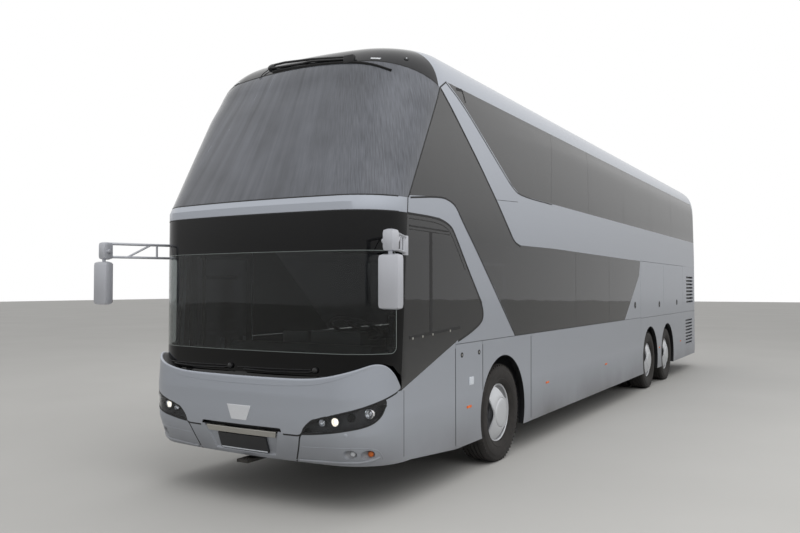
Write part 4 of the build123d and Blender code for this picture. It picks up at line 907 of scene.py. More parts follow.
# The dome over the upper screen
# Glass-fibre moulding in black gloss paint, bonded over the screen's top edge. Orange peel in the paint
# is 3 mm from crest to crest and shows as a slight grain in the gloss.
gloss_black = mottled("black_gloss_paint_on_moulding", "131316", "1a1b1e", 0.003, 0.10, spread=0.03)
DOME_BACK = -5.727
dome = fair(smooth_copy("front_dome", "front_dome_painted", sharp=50, levels=FAIR_CUTS, station=DOME_BACK))
shells["front_dome"] = dress(dome, "front_dome", "gloss_black", gloss_black, silver)
for face in shells["front_dome"].data.polygons:
    if face.center.y > DOME_BACK and face.center.z > 3.62:
        face.material_index = 1

# Passenger doors
# Bonded aluminium leaves, silver to the waist and black above it, with a flush pane let into each; they
# hang on cranks inside.
WAIST = 1.29
DOORS = (("front_door", -6.32, -5.42), ("middle_door", 0.64, 1.50))
for node, front, back in DOORS:
    piece = smooth_copy(node, node + "_painted", levels=(WAIST,))
    dress(piece, node, "body_paint", silver, gloss_black, tinted, felt)
    for face in piece.data.polygons:
        centre = face.center
        in_window = front + 0.085 < centre.y < back - 0.085 and 0.615 < centre.z < 2.115
        if in_window and abs(face.normal.x) > 0.9 and centre.x < -1.2:
            face.material_index = 2
        elif face.normal.x > 0.5:
            face.material_index = 3
        elif centre.z > WAIST:
            face.material_index = 1

# Seams and gaskets
# Black rubber profiles pressed into the joints between panes and panels, a millimetre or so proud of
# them, and the narrow open joints between painted panels.
skin = skin_of([shell.data for shell in shells.values()]
               + [nodes[node].data for node in ("front_panel", "headlamps", "tail_lamps") + DOOR_NODES])
TO_REAR, TO_FRONT = (0, 1, 0), (0, -1, 0)
# Where lines and spots are drawn before they are thrown on the skin: y ahead and behind, x beside
AHEAD, BEHIND, BESIDE = -9, 9, 3


def on_skin(point, ray):
    """Place and outward direction where a ray from outside meets the coach."""
    place, normal = skin.ray_cast(Vector(point), Vector(ray))[:2]
    if place is None:
        return None
    return place, (normal if normal.dot(Vector(ray)) < 0 else -normal)


def in_front(points, hand=1):
    """Points ahead of the coach from x and z, to aim from."""
    return [(hand * x, AHEAD, z) for x, z in points]


def beside(points, hand):
    """Points beside the coach from y and z, to aim from."""
    return [(hand * BESIDE, y, z) for y, z in points]


def stand_on(form, profile, point, ray, steps=24, finish=0):
    """Adds a turned shape that stands on the coach's skin."""
    turn_into(form, profile, *on_skin(point, ray), steps, finish)


def lay_along(form, found, width, height, sink=0.002, finish=0):
    """Lays a narrow bevelled strip through places found on the coach's skin."""
    found = [hit for hit in found if hit]
    rings = []
    for place, (spot, normal) in enumerate(found):
        before = found[max(0, place - 1)][0]
        after = found[min(len(found) - 1, place + 1)][0]
        across = normal.cross((after - before).normalized()).normalized() * width / 2
        slope = max(0.0, 1 - min(0.8, height / (width / 2) * 0.8))
        rings.append([form.verts.new(spot + across - normal * sink),
                      form.verts.new(spot + across + normal * height * 0.3),
                      form.verts.new(spot + across * slope + normal * height),
                      form.verts.new(spot - across * slope + normal * height),
                      form.verts.new(spot - across + normal * height * 0.3),
                      form.verts.new(spot - across - normal * sink)])
    join_rings(form, rings, finish)


def lay_strip(form, line, ray, width, height, sink=0.002, finish=0, step=0.04):
    """Lays a strip along a line drawn outside the coach."""
    found = []
    line = [Vector(point) for point in line]
    for start, end in zip(line, line[1:]):
        count = max(1, round((end - start).length / step))
        found += [on_skin(start.lerp(end, part / count), ray) for part in range(count)]
    found.append(on_skin(line[-1], ray))
    lay_along(form, found, width, height, sink, finish)


def eased(line):
    """Rounds the corners of a line of points."""
    line = [Vector(point) for point in line]
    for turn in range(2):
        cut_line = [line[0]]
        for start, end in zip(line, line[1:]):
            cut_line += [start.lerp(end, 0.25), start.lerp(end, 0.75)]
        line = cut_line + [line[-1]]
    return line


# Extruded rubber weathers to a dry dark grey in patches 30 mm long
gasket = mottled("black_extruded_rubber_gasket", "0e0e0f", "1c1c1d", 0.03, 0.6)
BOTH, LEFT = (1, -1), (1,)
SIDE_SEAMS = (
    # hands, width, height, line as y and z
    (BOTH, 0.018, 0.0022, ((-5.690, 3.600), (-4.950, 3.066), (-4.480, 2.696), (-4.200, 2.450), (-4.020, 2.300),
                           (-3.840, 2.262))),
    (BOTH, 0.012, 0.0016, ((-5.570, 3.690), (-5.250, 3.545), (-4.420, 3.086), (-4.060, 2.890), (-3.830, 2.822),
                           (-2.800, 2.822))),
    (BOTH, 0.014, 0.0018, ((-6.312, 2.560), (-5.707, 3.612))),
    (BOTH, 0.014, 0.0018, ((-5.700, 3.618), (-5.560, 3.698))),
    (LEFT, 0.012, 0.0016, ((-6.322, 2.555), (-6.332, 2.430))),
    (BOTH, 0.016, 0.0018, ((-6.280, 2.560), (-5.730, 2.622), (-5.550, 2.602), (-5.430, 2.560), (-5.320, 2.450),
                           (-5.010, 2.190), (-4.570, 1.795), (-4.140, 1.405), (-4.010, 1.290))),
    (LEFT, 0.020, 0.0018, ((-6.325, 2.425), (-5.770, 2.425), (-5.550, 2.375), (-5.470, 2.315), (-5.190, 1.995),
                           (-4.870, 1.650), (-4.832, 1.535), (-4.885, 1.462), (-5.150, 1.375), (-5.400, 1.315))),
    (LEFT, 0.008, 0.0012, ((-6.300, 2.385), (-5.790, 2.385), (-5.600, 2.345), (-5.510, 2.275), (-5.245, 1.975))),
    (LEFT, 0.014, 0.0020, ((-6.300, 2.325), (-5.590, 2.318))),
    (LEFT, 0.008, 0.0012, ((-6.300, 2.296), (-5.560, 2.290))),
    (LEFT, 0.050, 0.0020, ((-5.926, 1.410), (-5.926, 2.290))),
    (LEFT, 0.026, 0.0016, ((-6.300, 1.398), (-5.360, 1.440))),
    (LEFT, 0.007, 0.0004, ((-6.392, 0.440), (-6.392, 0.975))),
    (BOTH, 0.010, 0.0004, ((-3.556, 0.340), (-3.545, 1.262))),
    (BOTH, 0.004, 0.0003, ((-2.830, 2.840), (-2.770, 3.690))),
    *((BOTH, 0.004, 0.0003, ((y, 2.840), (y, 3.690))) for y in (-1.300, 0.600, 2.450, 4.300)),
    *((BOTH, 0.005, 0.0004, ((y, 1.300), (y, 2.258))) for y in (-1.900, -0.300)),
    (BOTH, 0.005, 0.0004, ((-4.483, 2.715), (-3.906, 2.749))),
)
form = bmesh.new()
for hands, width, height, line in SIDE_SEAMS:
    drawn = eased(line) if len(line) > 2 else line
    for hand in hands:
        lay_strip(form, beside(drawn, hand), (-hand, 0, 0), width, height)
for hand in BOTH:
    lay_strip(form, eased(in_front(((0.632, 0.650), (0.606, 0.610), (0.580, 0.530), (0.524, 0.400)), hand)),
              TO_REAR, 0.013, 0.0006, step=0.02)
    for line in (((-5.367, 3.676), (-5.233, 3.690)), ((-5.233, 3.690), (-5.188, 3.580))):
        lay_strip(form, beside(line, hand), (-hand, 0, 0), 0.030, 0.0006)
# Shadowed joints beside the service flap, laid on the fixed panels
flap_points = [vert.co for vert in painted["service_flap"].data.vertices]
for edge, side in ((min(point.y for point in flap_points), -1), (max(point.y for point in flap_points), 1)):
    y = edge + side * 0.0095
    lay_strip(form, beside(((y, 0.32), (y, 1.25)), 1), (-1, 0, 0), 0.008, 0.0004)
SCREEN_PIVOT = Vector((0, -5.6, 0))


def around(turn, level, fall=0.0):
    """Hit on the skin at a heading in degrees, 0 for ahead, on a level or on a plane that falls to the rear."""
    heading = math.radians(turn)
    away = Vector((math.sin(heading), -math.cos(heading), 0))
    inner = SCREEN_PIVOT + Vector((0, 0, level))
    start = inner + away * 3 + Vector((0, 0, math.cos(heading) * 3 * fall))
    return on_skin(start, (inner - start).normalized())


for level in (2.556, 2.4285):
    lay_along(form, [around(turn, level) for turn in range(-56, 57, 2)], 0.012, 0.0016)
DOME_FALL = 0.285 / 0.595
dome_level = 3.615 + (-5.705 - SCREEN_PIVOT.y) * DOME_FALL
lay_along(form, [around(turn, dome_level, DOME_FALL) for turn in range(-84, 85, 3)], 0.014, 0.0018)
finished("body_gaskets", form, "body", "black_plastic", gasket)

# Nose
# A glass-fibre moulding in body paint that stands 90 mm ahead of the screen's foot. Its upper edge is rolled
# into a lip over a folded band, with a black shelf from there back to the glass; bolted on from behind.
NOSE_LIP = ((0.0, 1.072), (17.7, 1.073), (24.0, 1.075), (29.7, 1.083), (33.8, 1.101), (37.2, 1.124), (40.4, 1.148),
            (43.1, 1.170), (45.0, 1.187), (46.6, 1.197), (48.3, 1.200), (50.3, 1.190), (52.3, 1.160), (54.3, 1.105),
            (55.6, 1.050), (56.7, 1.001))
NOSE_FOOT = ((0.0, 0.674), (16.9, 0.674), (17.9, 0.672), (18.3, 0.650), (18.4, 0.6355), (24.0, 0.6355),
             (25.4, 0.640), (25.9, 0.652), (26.4, 0.690), (27.6, 0.728), (29.2, 0.763), (30.8, 0.779), (33.9, 0.801),
             (37.1, 0.826), (40.8, 0.854), (43.9, 0.879), (46.7, 0.904), (50.6, 0.938), (54.0, 0.970), (56.7, 0.998))
NOSE_FACE_TOP = 0.935
NOSE_LEAN = 0.06
NOSE_FLARE = 0.035
LIP_BAND = 0.055
PROUD = 0.0015


def level_at(line, turn):
    """Height of a line of headings and levels at a heading."""
    for start, end in zip(line, line[1:]):
        if turn <= end[0]:
            return start[1] + (end[1] - start[1]) * (turn - start[0]) / (end[0] - start[0])
    return line[-1][1]


def face_reach(turn):
    """How far the nose stands from the pivot at a heading, taken from the coach's skin."""
    found = [(around(turn, level), level) for level in (0.86, 0.88, 0.90, 0.92)]
    return max((hit[0] - SCREEN_PIVOT).xy.length - NOSE_FLARE * (level - 0.92) for hit, level in found if hit)


def nose_point(turn, level, reach_here, out):
    """Point of the nose's face, which leans out a little up to its lip and then back."""
    heading = math.radians(turn)
    away = Vector((math.sin(heading), -math.cos(heading), 0))
    lean = NOSE_FLARE * (min(level, NOSE_FACE_TOP) - 0.92) - NOSE_LEAN * max(0.0, level - NOSE_FACE_TOP)
    return SCREEN_PIVOT + away * (reach_here + lean + out) + Vector((0, 0, level))


lip_line, foot_line = eased(NOSE_LIP), [Vector(point) for point in NOSE_FOOT]
turns = [step * 1.5 for step in range(11)] + [16.9, 17.4, 17.9, 18.1, 18.3, 18.4, 19.0]
turns += [20.0 + step for step in range(5)] + [24.8, 25.4, 25.7, 25.9, 26.1, 26.4, 26.8, 27.2, 27.6, 28.4]
turns += [29.2 + step * 0.8 for step in range(31)] + [53.6 + step * 0.4 for step in range(8)]
columns = []
form = bmesh.new()
for turn in [-turn for turn in turns[:0:-1]] + turns:
    lip, foot = level_at(lip_line, abs(turn)), level_at(foot_line, abs(turn))
    band = min(LIP_BAND, (lip - foot) * 0.4) * max(0.0, 1 - (abs(turn) / 47) ** 3)
    rise = 0.004 * min(1.0, band / 0.02)
    fold = lip - band - 0.003
    reach_here = face_reach(turn)
    rows = [nose_point(turn, foot, reach_here, PROUD - 0.006)]
    rows += [nose_point(turn, foot + 0.001 + (fold - foot - 0.001) * share / 18, reach_here, PROUD)
             for share in range(19)]
    rows += [nose_point(turn, fold + 0.002 + (lip - fold - 0.002) * share / 4, reach_here, PROUD + rise)
             for share in range(5)]
    rolled = rows[-1]
    heading = math.radians(turn)
    away = Vector((math.sin(heading), -math.cos(heading), 0))
    tight = min(1.0, (lip - foot) / 0.08)
    rows += [rolled + away * out * tight + Vector((0, 0, up * tight))
             for out, up in ((-0.0015, 0.004), (-0.006, 0.0075), (-0.012, 0.0085), (-0.020, 0.006), (-0.024, 0.0))]
    glass_spot = around(turn, max(lip, 1.01) - 0.004)
    rows.append((glass_spot[0] - glass_spot[1] * 0.02) if glass_spot else rows[-1])
    columns.append([form.verts.new(spot) for spot in rows])
for column, following in zip(columns, columns[1:]):
    for row in range(len(column) - 1):
        made = form.faces.new((column[row], following[row], following[row + 1], column[row + 1]))
        made.material_index = 1 if row == len(column) - 2 else 0
nose = finished("nose_moulding", form, "body", "body_paint", silver, primer, sharp=40)
walled(turned_to(nose, TO_FRONT), 0.003)
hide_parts("front_panel")
form = bmesh.new()
box_into(form, (-0.47, -6.872, 0.600), (0.47, -6.866, 0.700), 0.002)
finished("air_slot_mesh", form, "body", "black_plastic", primer)
form = bmesh.new()
for hand in BOTH:
    fold = ((0.611, 0.535), (0.779, 0.542), (0.957, 0.553), (1.098, 0.555), (1.175, 0.546), (1.204, 0.516),
            (1.210, 0.455))
    foot = ((0.560, 0.418), (0.779, 0.424), (0.957, 0.430), (1.080, 0.434), (1.150, 0.446), (1.196, 0.470))
    lay_strip(form, in_front(eased(fold), hand), TO_REAR, 0.008, 0.0022, step=0.02)
    lay_strip(form, in_front(eased(foot), hand), TO_REAR, 0.022, 0.007, step=0.02)
finished("bumper_folds", form, "body", "body_paint", silver, sharp=50)

# Plate place
# The slot between nose and bumper draws air; below it, in a shallow pressing of the bumper, sit a brushed
# trim bar and the black holder for the number plate, which carries none. Over them is a bare badge plate.


def cutter_between(name, near, far):
    """A closed cutter between two outlines."""
    form = bmesh.new()
    slab_into(form, near, far)
    bmesh.ops.recalc_face_normals(form, faces=form.faces)
    return made_of(name, form)


def cut(piece, cutter, material):
    """Takes a cutter's shape out of a painted piece; the new faces get the cutter's material."""
    cutter.data.materials.clear()
    cutter.data.materials.append(material)
    for face in cutter.data.polygons:
        face.material_index = 0
    taken = piece.modifiers.new("cut", "BOOLEAN")
    taken.operation = "DIFFERENCE"
    taken.solver = "EXACT"
    taken.material_mode = "TRANSFER"
    taken.object = cutter
    result = bpy.data.meshes.new_from_object(piece.evaluated_get(bpy.context.evaluated_depsgraph_get()))
    piece.modifiers.clear()
    piece.data = result
    bpy.data.objects.remove(cutter)


PRESSING = ((-0.405, 0.646), (0.405, 0.646), (0.330, 0.432), (-0.330, 0.432))
cut(painted["front_bumper"],
    cutter_between("plate_opening", *([(x, y, z) for x, z in PRESSING] for y in (-7.3, -6.7))), silver)


def pressed_into(form, corners, ray, depth, ramp, finish=0):
    """Adds a sunk field with four corners: level with the skin at its rim and flat inside, with soft sides."""
    corners = [Vector(corner) for corner in corners]
    wide, tall = (corners[1] - corners[0]).length, (corners[3] - corners[0]).length
    shares = []
    for length in (wide, tall):
        near = [ramp / length * part / 4 for part in range(5)]
        inner = [near[-1] + (1 - 2 * near[-1]) * part / 10 for part in range(1, 10)]
        shares.append(near + inner + [1 - share for share in near[::-1]])
    grid = []
    for down in shares[1]:
        row = []
        for across in shares[0]:
            high, low = corners[0].lerp(corners[1], across), corners[3].lerp(corners[2], across)
            spot, normal = on_skin(high.lerp(low, down), ray)
            inside = min(1.0, min(min(across, 1 - across) * wide, min(down, 1 - down) * tall) / ramp)
            row.append(form.verts.new(spot - normal * depth * inside * inside * (3 - 2 * inside)))
        grid.append(row)
    for row, following in zip(grid, grid[1:]):
        for place in range(len(row) - 1):
            form.faces.new((row[place], row[place + 1], following[place + 1], following[place])
                           ).material_index = finish


# It starts below the air slot, through which a ray would miss the bumper
FIELD = ((-0.3985, 0.627), (0.3985, 0.627)) + PRESSING[2:]
form = bmesh.new()
pressed_into(form, in_front(FIELD), TO_REAR, 0.016, 0.014)
finished("plate_pressing", form, "body", "body_paint", silver, sharp=60)


def lay_patch(form, corners, ray, out, sink, cells=(12, 3), finish=0):
    """Lays a slab with four corners on the coach's skin: top left, top right, low right, low left."""
    corners = [Vector(corner) for corner in corners]
    tops, feet = [], []
    for row in range(cells[1] + 1):
        for column in range(cells[0] + 1):
            share = column / cells[0]
            high = corners[0].lerp(corners[1], share)
            low = corners[3].lerp(corners[2], share)
            spot, normal = on_skin(high.lerp(low, row / cells[1]), ray)
            tops.append(form.verts.new(spot + normal * out))
            feet.append(form.verts.new(spot - normal * sink))
    wide = cells[0] + 1
    for row in range(cells[1]):
        for column in range(cells[0]):
            spot = row * wide + column
            for level in (tops, feet):
                form.faces.new((level[spot], level[spot + 1], level[spot + wide + 1], level[spot + wide])
                               ).material_index = finish
    rim = ([column for column in range(wide)] + [row * wide + cells[0] for row in range(1, cells[1] + 1)]
           + [cells[1] * wide + column for column in range(cells[0] - 1, -1, -1)]
           + [row * wide for row in range(cells[1] - 1, 0, -1)])
    for place, spot in enumerate(rim):
        after = rim[(place + 1) % len(rim)]
        form.faces.new((tops[spot], tops[after], feet[after], feet[spot])).material_index = finish


# Aluminium trim, brushed lengthways: scratches 0.1 mm apart, drawn 2 mm apart so that they show
brushed, tree, shader, place = new_finish("brushed_anodised_aluminium")
drawn = add(tree, "ShaderNodeMapping", {"Vector": place, "Scale": (8.0, 8.0, 500.0)})
scratch = add(tree, "ShaderNodeTexNoise", {"Vector": drawn.outputs["Vector"], "Scale": 1.0, "Detail": 3.0})
tone = add(tree, "ShaderNodeMix", {6: srgb("a6a49e"), 7: srgb("c4c2bc"), 0: scratch.outputs["Fac"]},
           data_type="RGBA")
matt = add(tree, "ShaderNodeMapRange", {"Value": scratch.outputs["Fac"], "To Min": 0.24, "To Max": 0.42})
fill(shader, {"Base Color": tone.outputs[2], "Roughness": matt.outputs["Result"], "Metallic": 0.9})
pale_lacquer = mottled("pale_silver_lacquer_on_plastic", "b4b6bd", "c0c2c8", 0.002, 0.30, metallic=0.35,
                       spread=0.04)
pale_film = mottled("pale_printed_film_strip", "c9cfd6", "d8dce2", 0.01, 0.4)


def field(high, top, low, foot):
    """Four corners of a field in the middle of the front: half a width and a level above and below."""
    return in_front(((-high, top), (high, top), (low, foot), (-low, foot)))


form = bmesh.new()
lay_patch(form, field(0.385, 0.640, 0.368, 0.590), TO_REAR, 0.004, 0.022, cells=(16, 2))
trim_bar = finished("plate_trim_bar", form, "body", "trim_plastic", brushed)
form = bmesh.new()
lay_patch(form, field(0.262, 0.582, 0.262, 0.446), TO_REAR, 0.003, 0.022, cells=(12, 3))
lay_patch(form, field(0.252, 0.460, 0.252, 0.450), TO_REAR, 0.0042, 0.002, cells=(12, 1), finish=1)
finished("plate_holder", form, "body", "black_plastic", moulded_black, pale_film)
form = bmesh.new()
lay_patch(form, field(0.130, 0.835, 0.082, 0.712), TO_REAR, 0.006, 0.003, cells=(8, 3))
# Satin-blasted aluminium scatters light from dimples of 0.5 mm, drawn as 4 mm
satin_plate = mottled("satin_blasted_aluminium_plate", "d3d5d9", "dcdee2", 0.004, 0.34, metallic=0.2, spread=0.04)
badge = finished("bare_badge_plate", form, "body", "trim_plastic", satin_plate)
for piece in (trim_bar, badge):
    edges = piece.modifiers.new("rounded_edges", "BEVEL")
    edges.width = 0.003
    edges.segments = 2
    edges.limit_method = "ANGLE"

# Headlamps
# Clear polycarbonate covers over dark moulded bowls that follow the bumper's corner. In each bowl, from
# the middle outwards: a side lamp, the lit projector, a cornering lamp and the faceted main beam.
lens_clear, tree, shader, place = new_finish("clear_hard_coated_polycarbonate")
# Washing scours faint swirls, 5 mm apart, into the hard coat
swirl = add(tree, "ShaderNodeTexNoise", {"Vector": place, "Scale": 200.0, "Detail": 2.0})
matt = add(tree, "ShaderNodeMapRange", {"Value": swirl.outputs["Fac"], "To Min": 0.0, "To Max": 0.04})
fill(shader, {"Roughness": matt.outputs["Result"], "Base Color": srgb("e6e8ea"), "IOR": 1.1,
              "Transmission Weight": 1.0, "Coat Weight": 0.35, "Coat Roughness": 0.02})
bowl_grey = mottled("dark_grey_moulded_bowl", "28282b", "38383c", 0.002, 0.42, relief=0.0002)
# Vapour-laid aluminium on plastic mirrors nearly all the light; its haze is 1 mm, drawn as 4 mm
chrome = mottled("vapour_laid_aluminium_mirror", "d2d3d6", "e4e5e8", 0.004, 0.08, metallic=1.0, spread=0.03)
lit, tree, shader, place = new_finish("lit_projector_glass")
# The hot spot wanders over the ball lens by some 20 mm
spot = add(tree, "ShaderNodeTexNoise", {"Vector": place, "Scale": 40.0})
tone = add(tree, "ShaderNodeMix", {6: srgb("fff0cf"), 7: srgb("fffaf0"), 0: spot.outputs["Fac"]}, data_type="RGBA")
fill(shader, {"Base Color": tone.outputs[2], "Emission Color": tone.outputs[2], "Emission Strength": 1.6,
              "Roughness": 0.1})
dark_lens = mottled("dark_tinted_lens", "101012", "1c1c20", 0.01, 0.06, spread=0.03)

lens = smooth_copy("headlamps", "headlamp_covers")
bowl = smooth_copy("headlamps", "headlamp_bowls")
for piece, outside in ((lens, True), (bowl, False)):
    form = bmesh.new()
    form.from_mesh(piece.data)
    wrong = [face for face in form.faces if (face.normal.y < -0.25) != outside]
    bmesh.ops.delete(form, geom=wrong, context="FACES")
    form.to_mesh(piece.data)
    form.free()
    walled(piece, 0.003)
dress(lens, "headlamps", "lamp", lens_clear)
dress(bowl, "headlamps", "lamp", bowl_grey)

LAMP_RIM = ((0.640, 0.650), (0.656, 0.690), (0.688, 0.726), (0.735, 0.758), (0.867, 0.795), (0.965, 0.820),
            (1.063, 0.848), (1.136, 0.873), (1.190, 0.898), (1.240, 0.930), (1.247, 0.905), (1.241, 0.860),
            (1.228, 0.805), (1.205, 0.766), (1.171, 0.738), (1.114, 0.717), (1.026, 0.698), (0.893, 0.674),
            (0.743, 0.654), (0.640, 0.646))
form = bmesh.new()
for hand in BOTH:
    lay_strip(form, in_front(eased(LAMP_RIM), hand), TO_REAR, 0.016, 0.0022, step=0.02)
    joint = [(hand * step / 2, level_at(foot_line, step / 2) - 0.005) for step in range(38, 115)]
    lay_along(form, [around(turn, level) for turn, level in joint], 0.018, 0.0014)
    corner = [(hand * step / 4, level_at(foot_line, step / 4) - 0.022) for step in range(191, 203)]
    lay_along(form, [around(turn, level) for turn, level in corner], 0.038, 0.0010)
finished("headlamp_gaskets", form, "body", "black_plastic", gasket)

# Share of the bowl's radius, and metres ahead of its seat
BOWL_RING = ((0.0, -0.006), (1.12, -0.006), (1.18, 0.006), (1.12, 0.020), (1.02, 0.022), (0.97, 0.018),
             (0.80, 0.006), (0.45, -0.001), (0.0, -0.002))
LAMP_UNITS = (
    # x, y of the cover, z, radius, finish of the bowl, finish of the lens
    (0.806, -6.897, 0.742, 0.026, 0, 3),
    (0.921, -6.882, 0.757, 0.032, 0, 2),
    (1.040, -6.843, 0.791, 0.029, 1, 1),
    (1.156, -6.756, 0.822, 0.038, 0, 3),
)
form = bmesh.new()
for hand in BOTH:
    for x, y, z, radius, bowl_finish, lens_finish in LAMP_UNITS:
        centre = (hand * x, y + 0.046, z)
        ring = [(radius * share, depth) for share, depth in BOWL_RING]
        turn_into(form, ring, centre, TO_FRONT, 12 if x > 1.1 else 32, bowl_finish)
        ball = radius * (0.72 if lens_finish == 2 else 0.5)
        dome = [(0.0, 0.0)] + [(ball * math.cos(a), 0.002 + ball * 0.6 * math.sin(a))
                               for a in [math.pi / 2 * part / 5 for part in range(6)]]
        dome[-1] = (0.0, dome[-1][1])
        turn_into(form, dome, centre, TO_FRONT, 24, lens_finish)
finished("headlamp_units", form, "body", "lamp", chrome, dark_lens, lit, chrome, sharp=25)

# Fog lamps and sensor
# A fog lamp and an amber turn lamp are set in round pockets of the bumper's corner; a painted parking
# sensor sits above them.
amber = mottled("amber_moulded_acrylic", "b4541a", "cf6f26", 0.006, 0.15)
red_lens = mottled("red_moulded_acrylic", "7a0c10", "991418", 0.006, 0.14)
white_lens = mottled("white_fluted_acrylic", "b9bcc0", "d0d3d6", 0.006, 0.14)
FOG_LAMPS = ((1.020, 0.497, 1), (1.138, 0.494, 2))
CUP_WIDE, CUP_TALL = 0.055, 0.042
CUP_STEPS = 40
CUP_RINGS = ((0.97, 0.004), (0.86, 0.014), (0.68, 0.030), (0.56, 0.036), (0.50, 0.040), (0.30, 0.044))
form = bmesh.new()
for hand in BOTH:
    for x, z, finish in FOG_LAMPS:
        middle, out = on_skin((hand * x, AHEAD, z), TO_REAR)
        aim = (out + Vector((0, -1.2, 0))).normalized()
        side = Vector((0, 0, 1)).cross(aim).normalized()
        rise = aim.cross(side)
        rim, bowl = [], [[] for ring in CUP_RINGS]
        for step in range(CUP_STEPS):
            angle = 2 * math.pi * step / CUP_STEPS
            wide, tall = math.cos(angle), math.sin(angle)
            place = middle + side * wide * CUP_WIDE + rise * tall * CUP_TALL
            spot = on_skin(place + aim * 0.4, -aim)[0]
            rim.append(spot + aim * 0.0008)
            for ring, (share, depth) in zip(bowl, CUP_RINGS):
                drift = side * hand * CUP_WIDE * (1 - share) * 0.45
                level = spot.lerp(place, min(1.0, depth / 0.02)) - aim * depth
                around_middle = middle + (level - middle).project(aim) + drift
                ring.append(around_middle + side * wide * CUP_WIDE * share + rise * tall * CUP_TALL * share)
        cut(painted["front_bumper"], cutter_between("lamp_hole", *([spot + aim * far for spot in rim]
                                                                   for far in (0.3, -0.3))), silver)
        rings = [[form.verts.new(spot) for spot in ring] for ring in [rim] + bowl]
        join_rings(form, rings[:3], 3, ends=False)
        # The deeper rings and the floor of each pocket take the darker steel lacquer: painted shade inside the
        # pocket
        join_rings(form, rings[2:], 4, ends=False)
        form.faces.new(rings[-1]).material_index = 4
        seat = sum(bowl[4], Vector()) / CUP_STEPS - aim * 0.004
        turn_into(form, ((0.0, 0.0), (0.022, 0.0), (0.0235, 0.010), (0.021, 0.016), (0.012, 0.020), (0.0, 0.021)),
                  seat, aim, 28, finish)
    stand_on(form, ((0.0, -0.002), (0.0165, -0.002), (0.0165, 0.0005), (0.014, 0.0022), (0.0, 0.0024)),
             (hand * 1.016, AHEAD, 0.658), TO_REAR, 24, 3)
finished("fog_lamps_and_sensors", form, "body", "lamp", chrome, white_lens, amber, silver,
         dust_and_shade_steel, sharp=50)

# Side fittings
# Black pulls with a key lock on the service flap, round sunk key cups behind black rims in the other flaps,
# amber side markers along the skirt, and a pale moulded cap by the front wheel; each rides on the flap or
# panel that it is fixed to.
MARKER_STATIONS = (-3.01, -0.50, 3.12, 5.15)
MARKER_Z = 0.68
FITTINGS = (
    # body, kind, hand, y, z
    ("body", "cup", 1, 1.28, 1.51), ("flap_left_front_body", "cup", 1, 3.14, 1.49),
    ("flap_left_rear_body", "cup", 1, 4.80, 1.50), ("flap_right_front_body", "cup", -1, 3.14, 1.49),
    ("flap_right_rear_body", "cup", -1, 4.80, 1.50), ("service_flap_body", "pull", 1, -5.32, 1.18),
    ("service_flap_body", "pull", 1, -4.94, 1.18), ("service_flap_body", "marker", 1, -5.17, MARKER_Z),
    *(("body", "marker", hand, y, MARKER_Z) for hand in BOTH for y in MARKER_STATIONS),
    ("body", "marker", -1, -5.17, MARKER_Z), ("service_flap_body", "cap", 1, -5.12, 0.92),
)
amber_marker = mottled("amber_reflex_acrylic", "d8611c", "f07a2c", 0.006, 0.2)
for body in sorted({row[0] for row in FITTINGS}):
    form = bmesh.new()
    for owner, kind, hand, y, z in FITTINGS:
        if owner != body:
            continue
        inward = (-hand, 0, 0)
        if kind in ("cup", "pull"):
            spot = (hand * BESIDE, y, z)
            wide = 0.058 if kind == "cup" else 0.025
            stand_on(form, ((0.0, -0.002), (wide, -0.002), (wide, 0.001), (wide * 0.9, 0.003),
                            (wide * 0.78, 0.0026), (wide * 0.70, 0.0008), (0.0, 0.0006)), spot, inward, 32, 3)
            stand_on(form, ((0.0, 0.0), (0.010, 0.0), (0.010, 0.0022), (0.007, 0.0026), (0.0, 0.0018)), spot,
                     inward, 20)
            continue
        wide, tall, out, finish = (0.048, 0.0115, 0.007, 1) if kind == "marker" else (0.046, 0.038, 0.008, 2)
        # A cap in two steps: the foot, and a face 12 % shorter and 20 % lower
        for far, up, height in ((1.0, 1.0, out * 0.5), (0.88, 0.80, out)):
            front, back, top, foot = y - wide * far, y + wide * far, z + tall * up, z - tall * up
            lay_patch(form, beside(((front, top), (back, top), (back, foot), (front, foot)), hand), inward, height,
                      0.001, cells=(4, 2), finish=finish)
    finished("side_fittings_" + body, form, body, "trim_plastic", brushed, amber_marker, pale_film, gasket)
form = bmesh.new()
for y in (-6.245, -6.075, -5.895, -5.560):
    stand_on(form, ((0.0, -0.001), (0.011, -0.001), (0.011, 0.002), (0.008, 0.0036), (0.0, 0.004)),
             (BESIDE, y, 1.385 + (y + 6.3) * 0.045), (-1, 0, 0), 16)
finished("window_rail_bolts", form, "body", "trim_plastic", brushed)

# Wipers
# Black-coated steel arms with rubber blades: two parked along the foot of the lower screen, one along
# the top of the upper screen with its washer hose.
# Powder coat has an orange-peel grain of 2 mm
coated_black = mottled("black_powder_coated_steel", "111112", "1d1d1f", 0.002, 0.38, relief=0.0002)
form = bmesh.new()
for shift in (0.0, -0.88):
    arm = [(x + shift, z) for x, z in ((0.700, 1.140), (0.640, 1.128), (0.280, 1.118), (-0.020, 1.124))]
    lay_strip(form, in_front(arm), TO_REAR, 0.022, 0.024)
    blade = [(x + shift, z) for x, z in ((0.660, 1.146), (0.280, 1.140), (-0.105, 1.138))]
    lay_strip(form, in_front(blade), TO_REAR, 0.012, 0.010, finish=1)
    stand_on(form, ((0.0, -0.002), (0.026, -0.002), (0.024, 0.018), (0.014, 0.026), (0.0, 0.027)),
             (0.700 + shift, AHEAD, 1.143), TO_REAR)


def stood_off(points):
    """Points at some height over the skin, from x, z and that height."""
    found = [(on_skin((x, AHEAD, z), TO_REAR), height) for x, z, height in points]
    return [hit[0] + hit[1] * height for hit, height in found if hit]


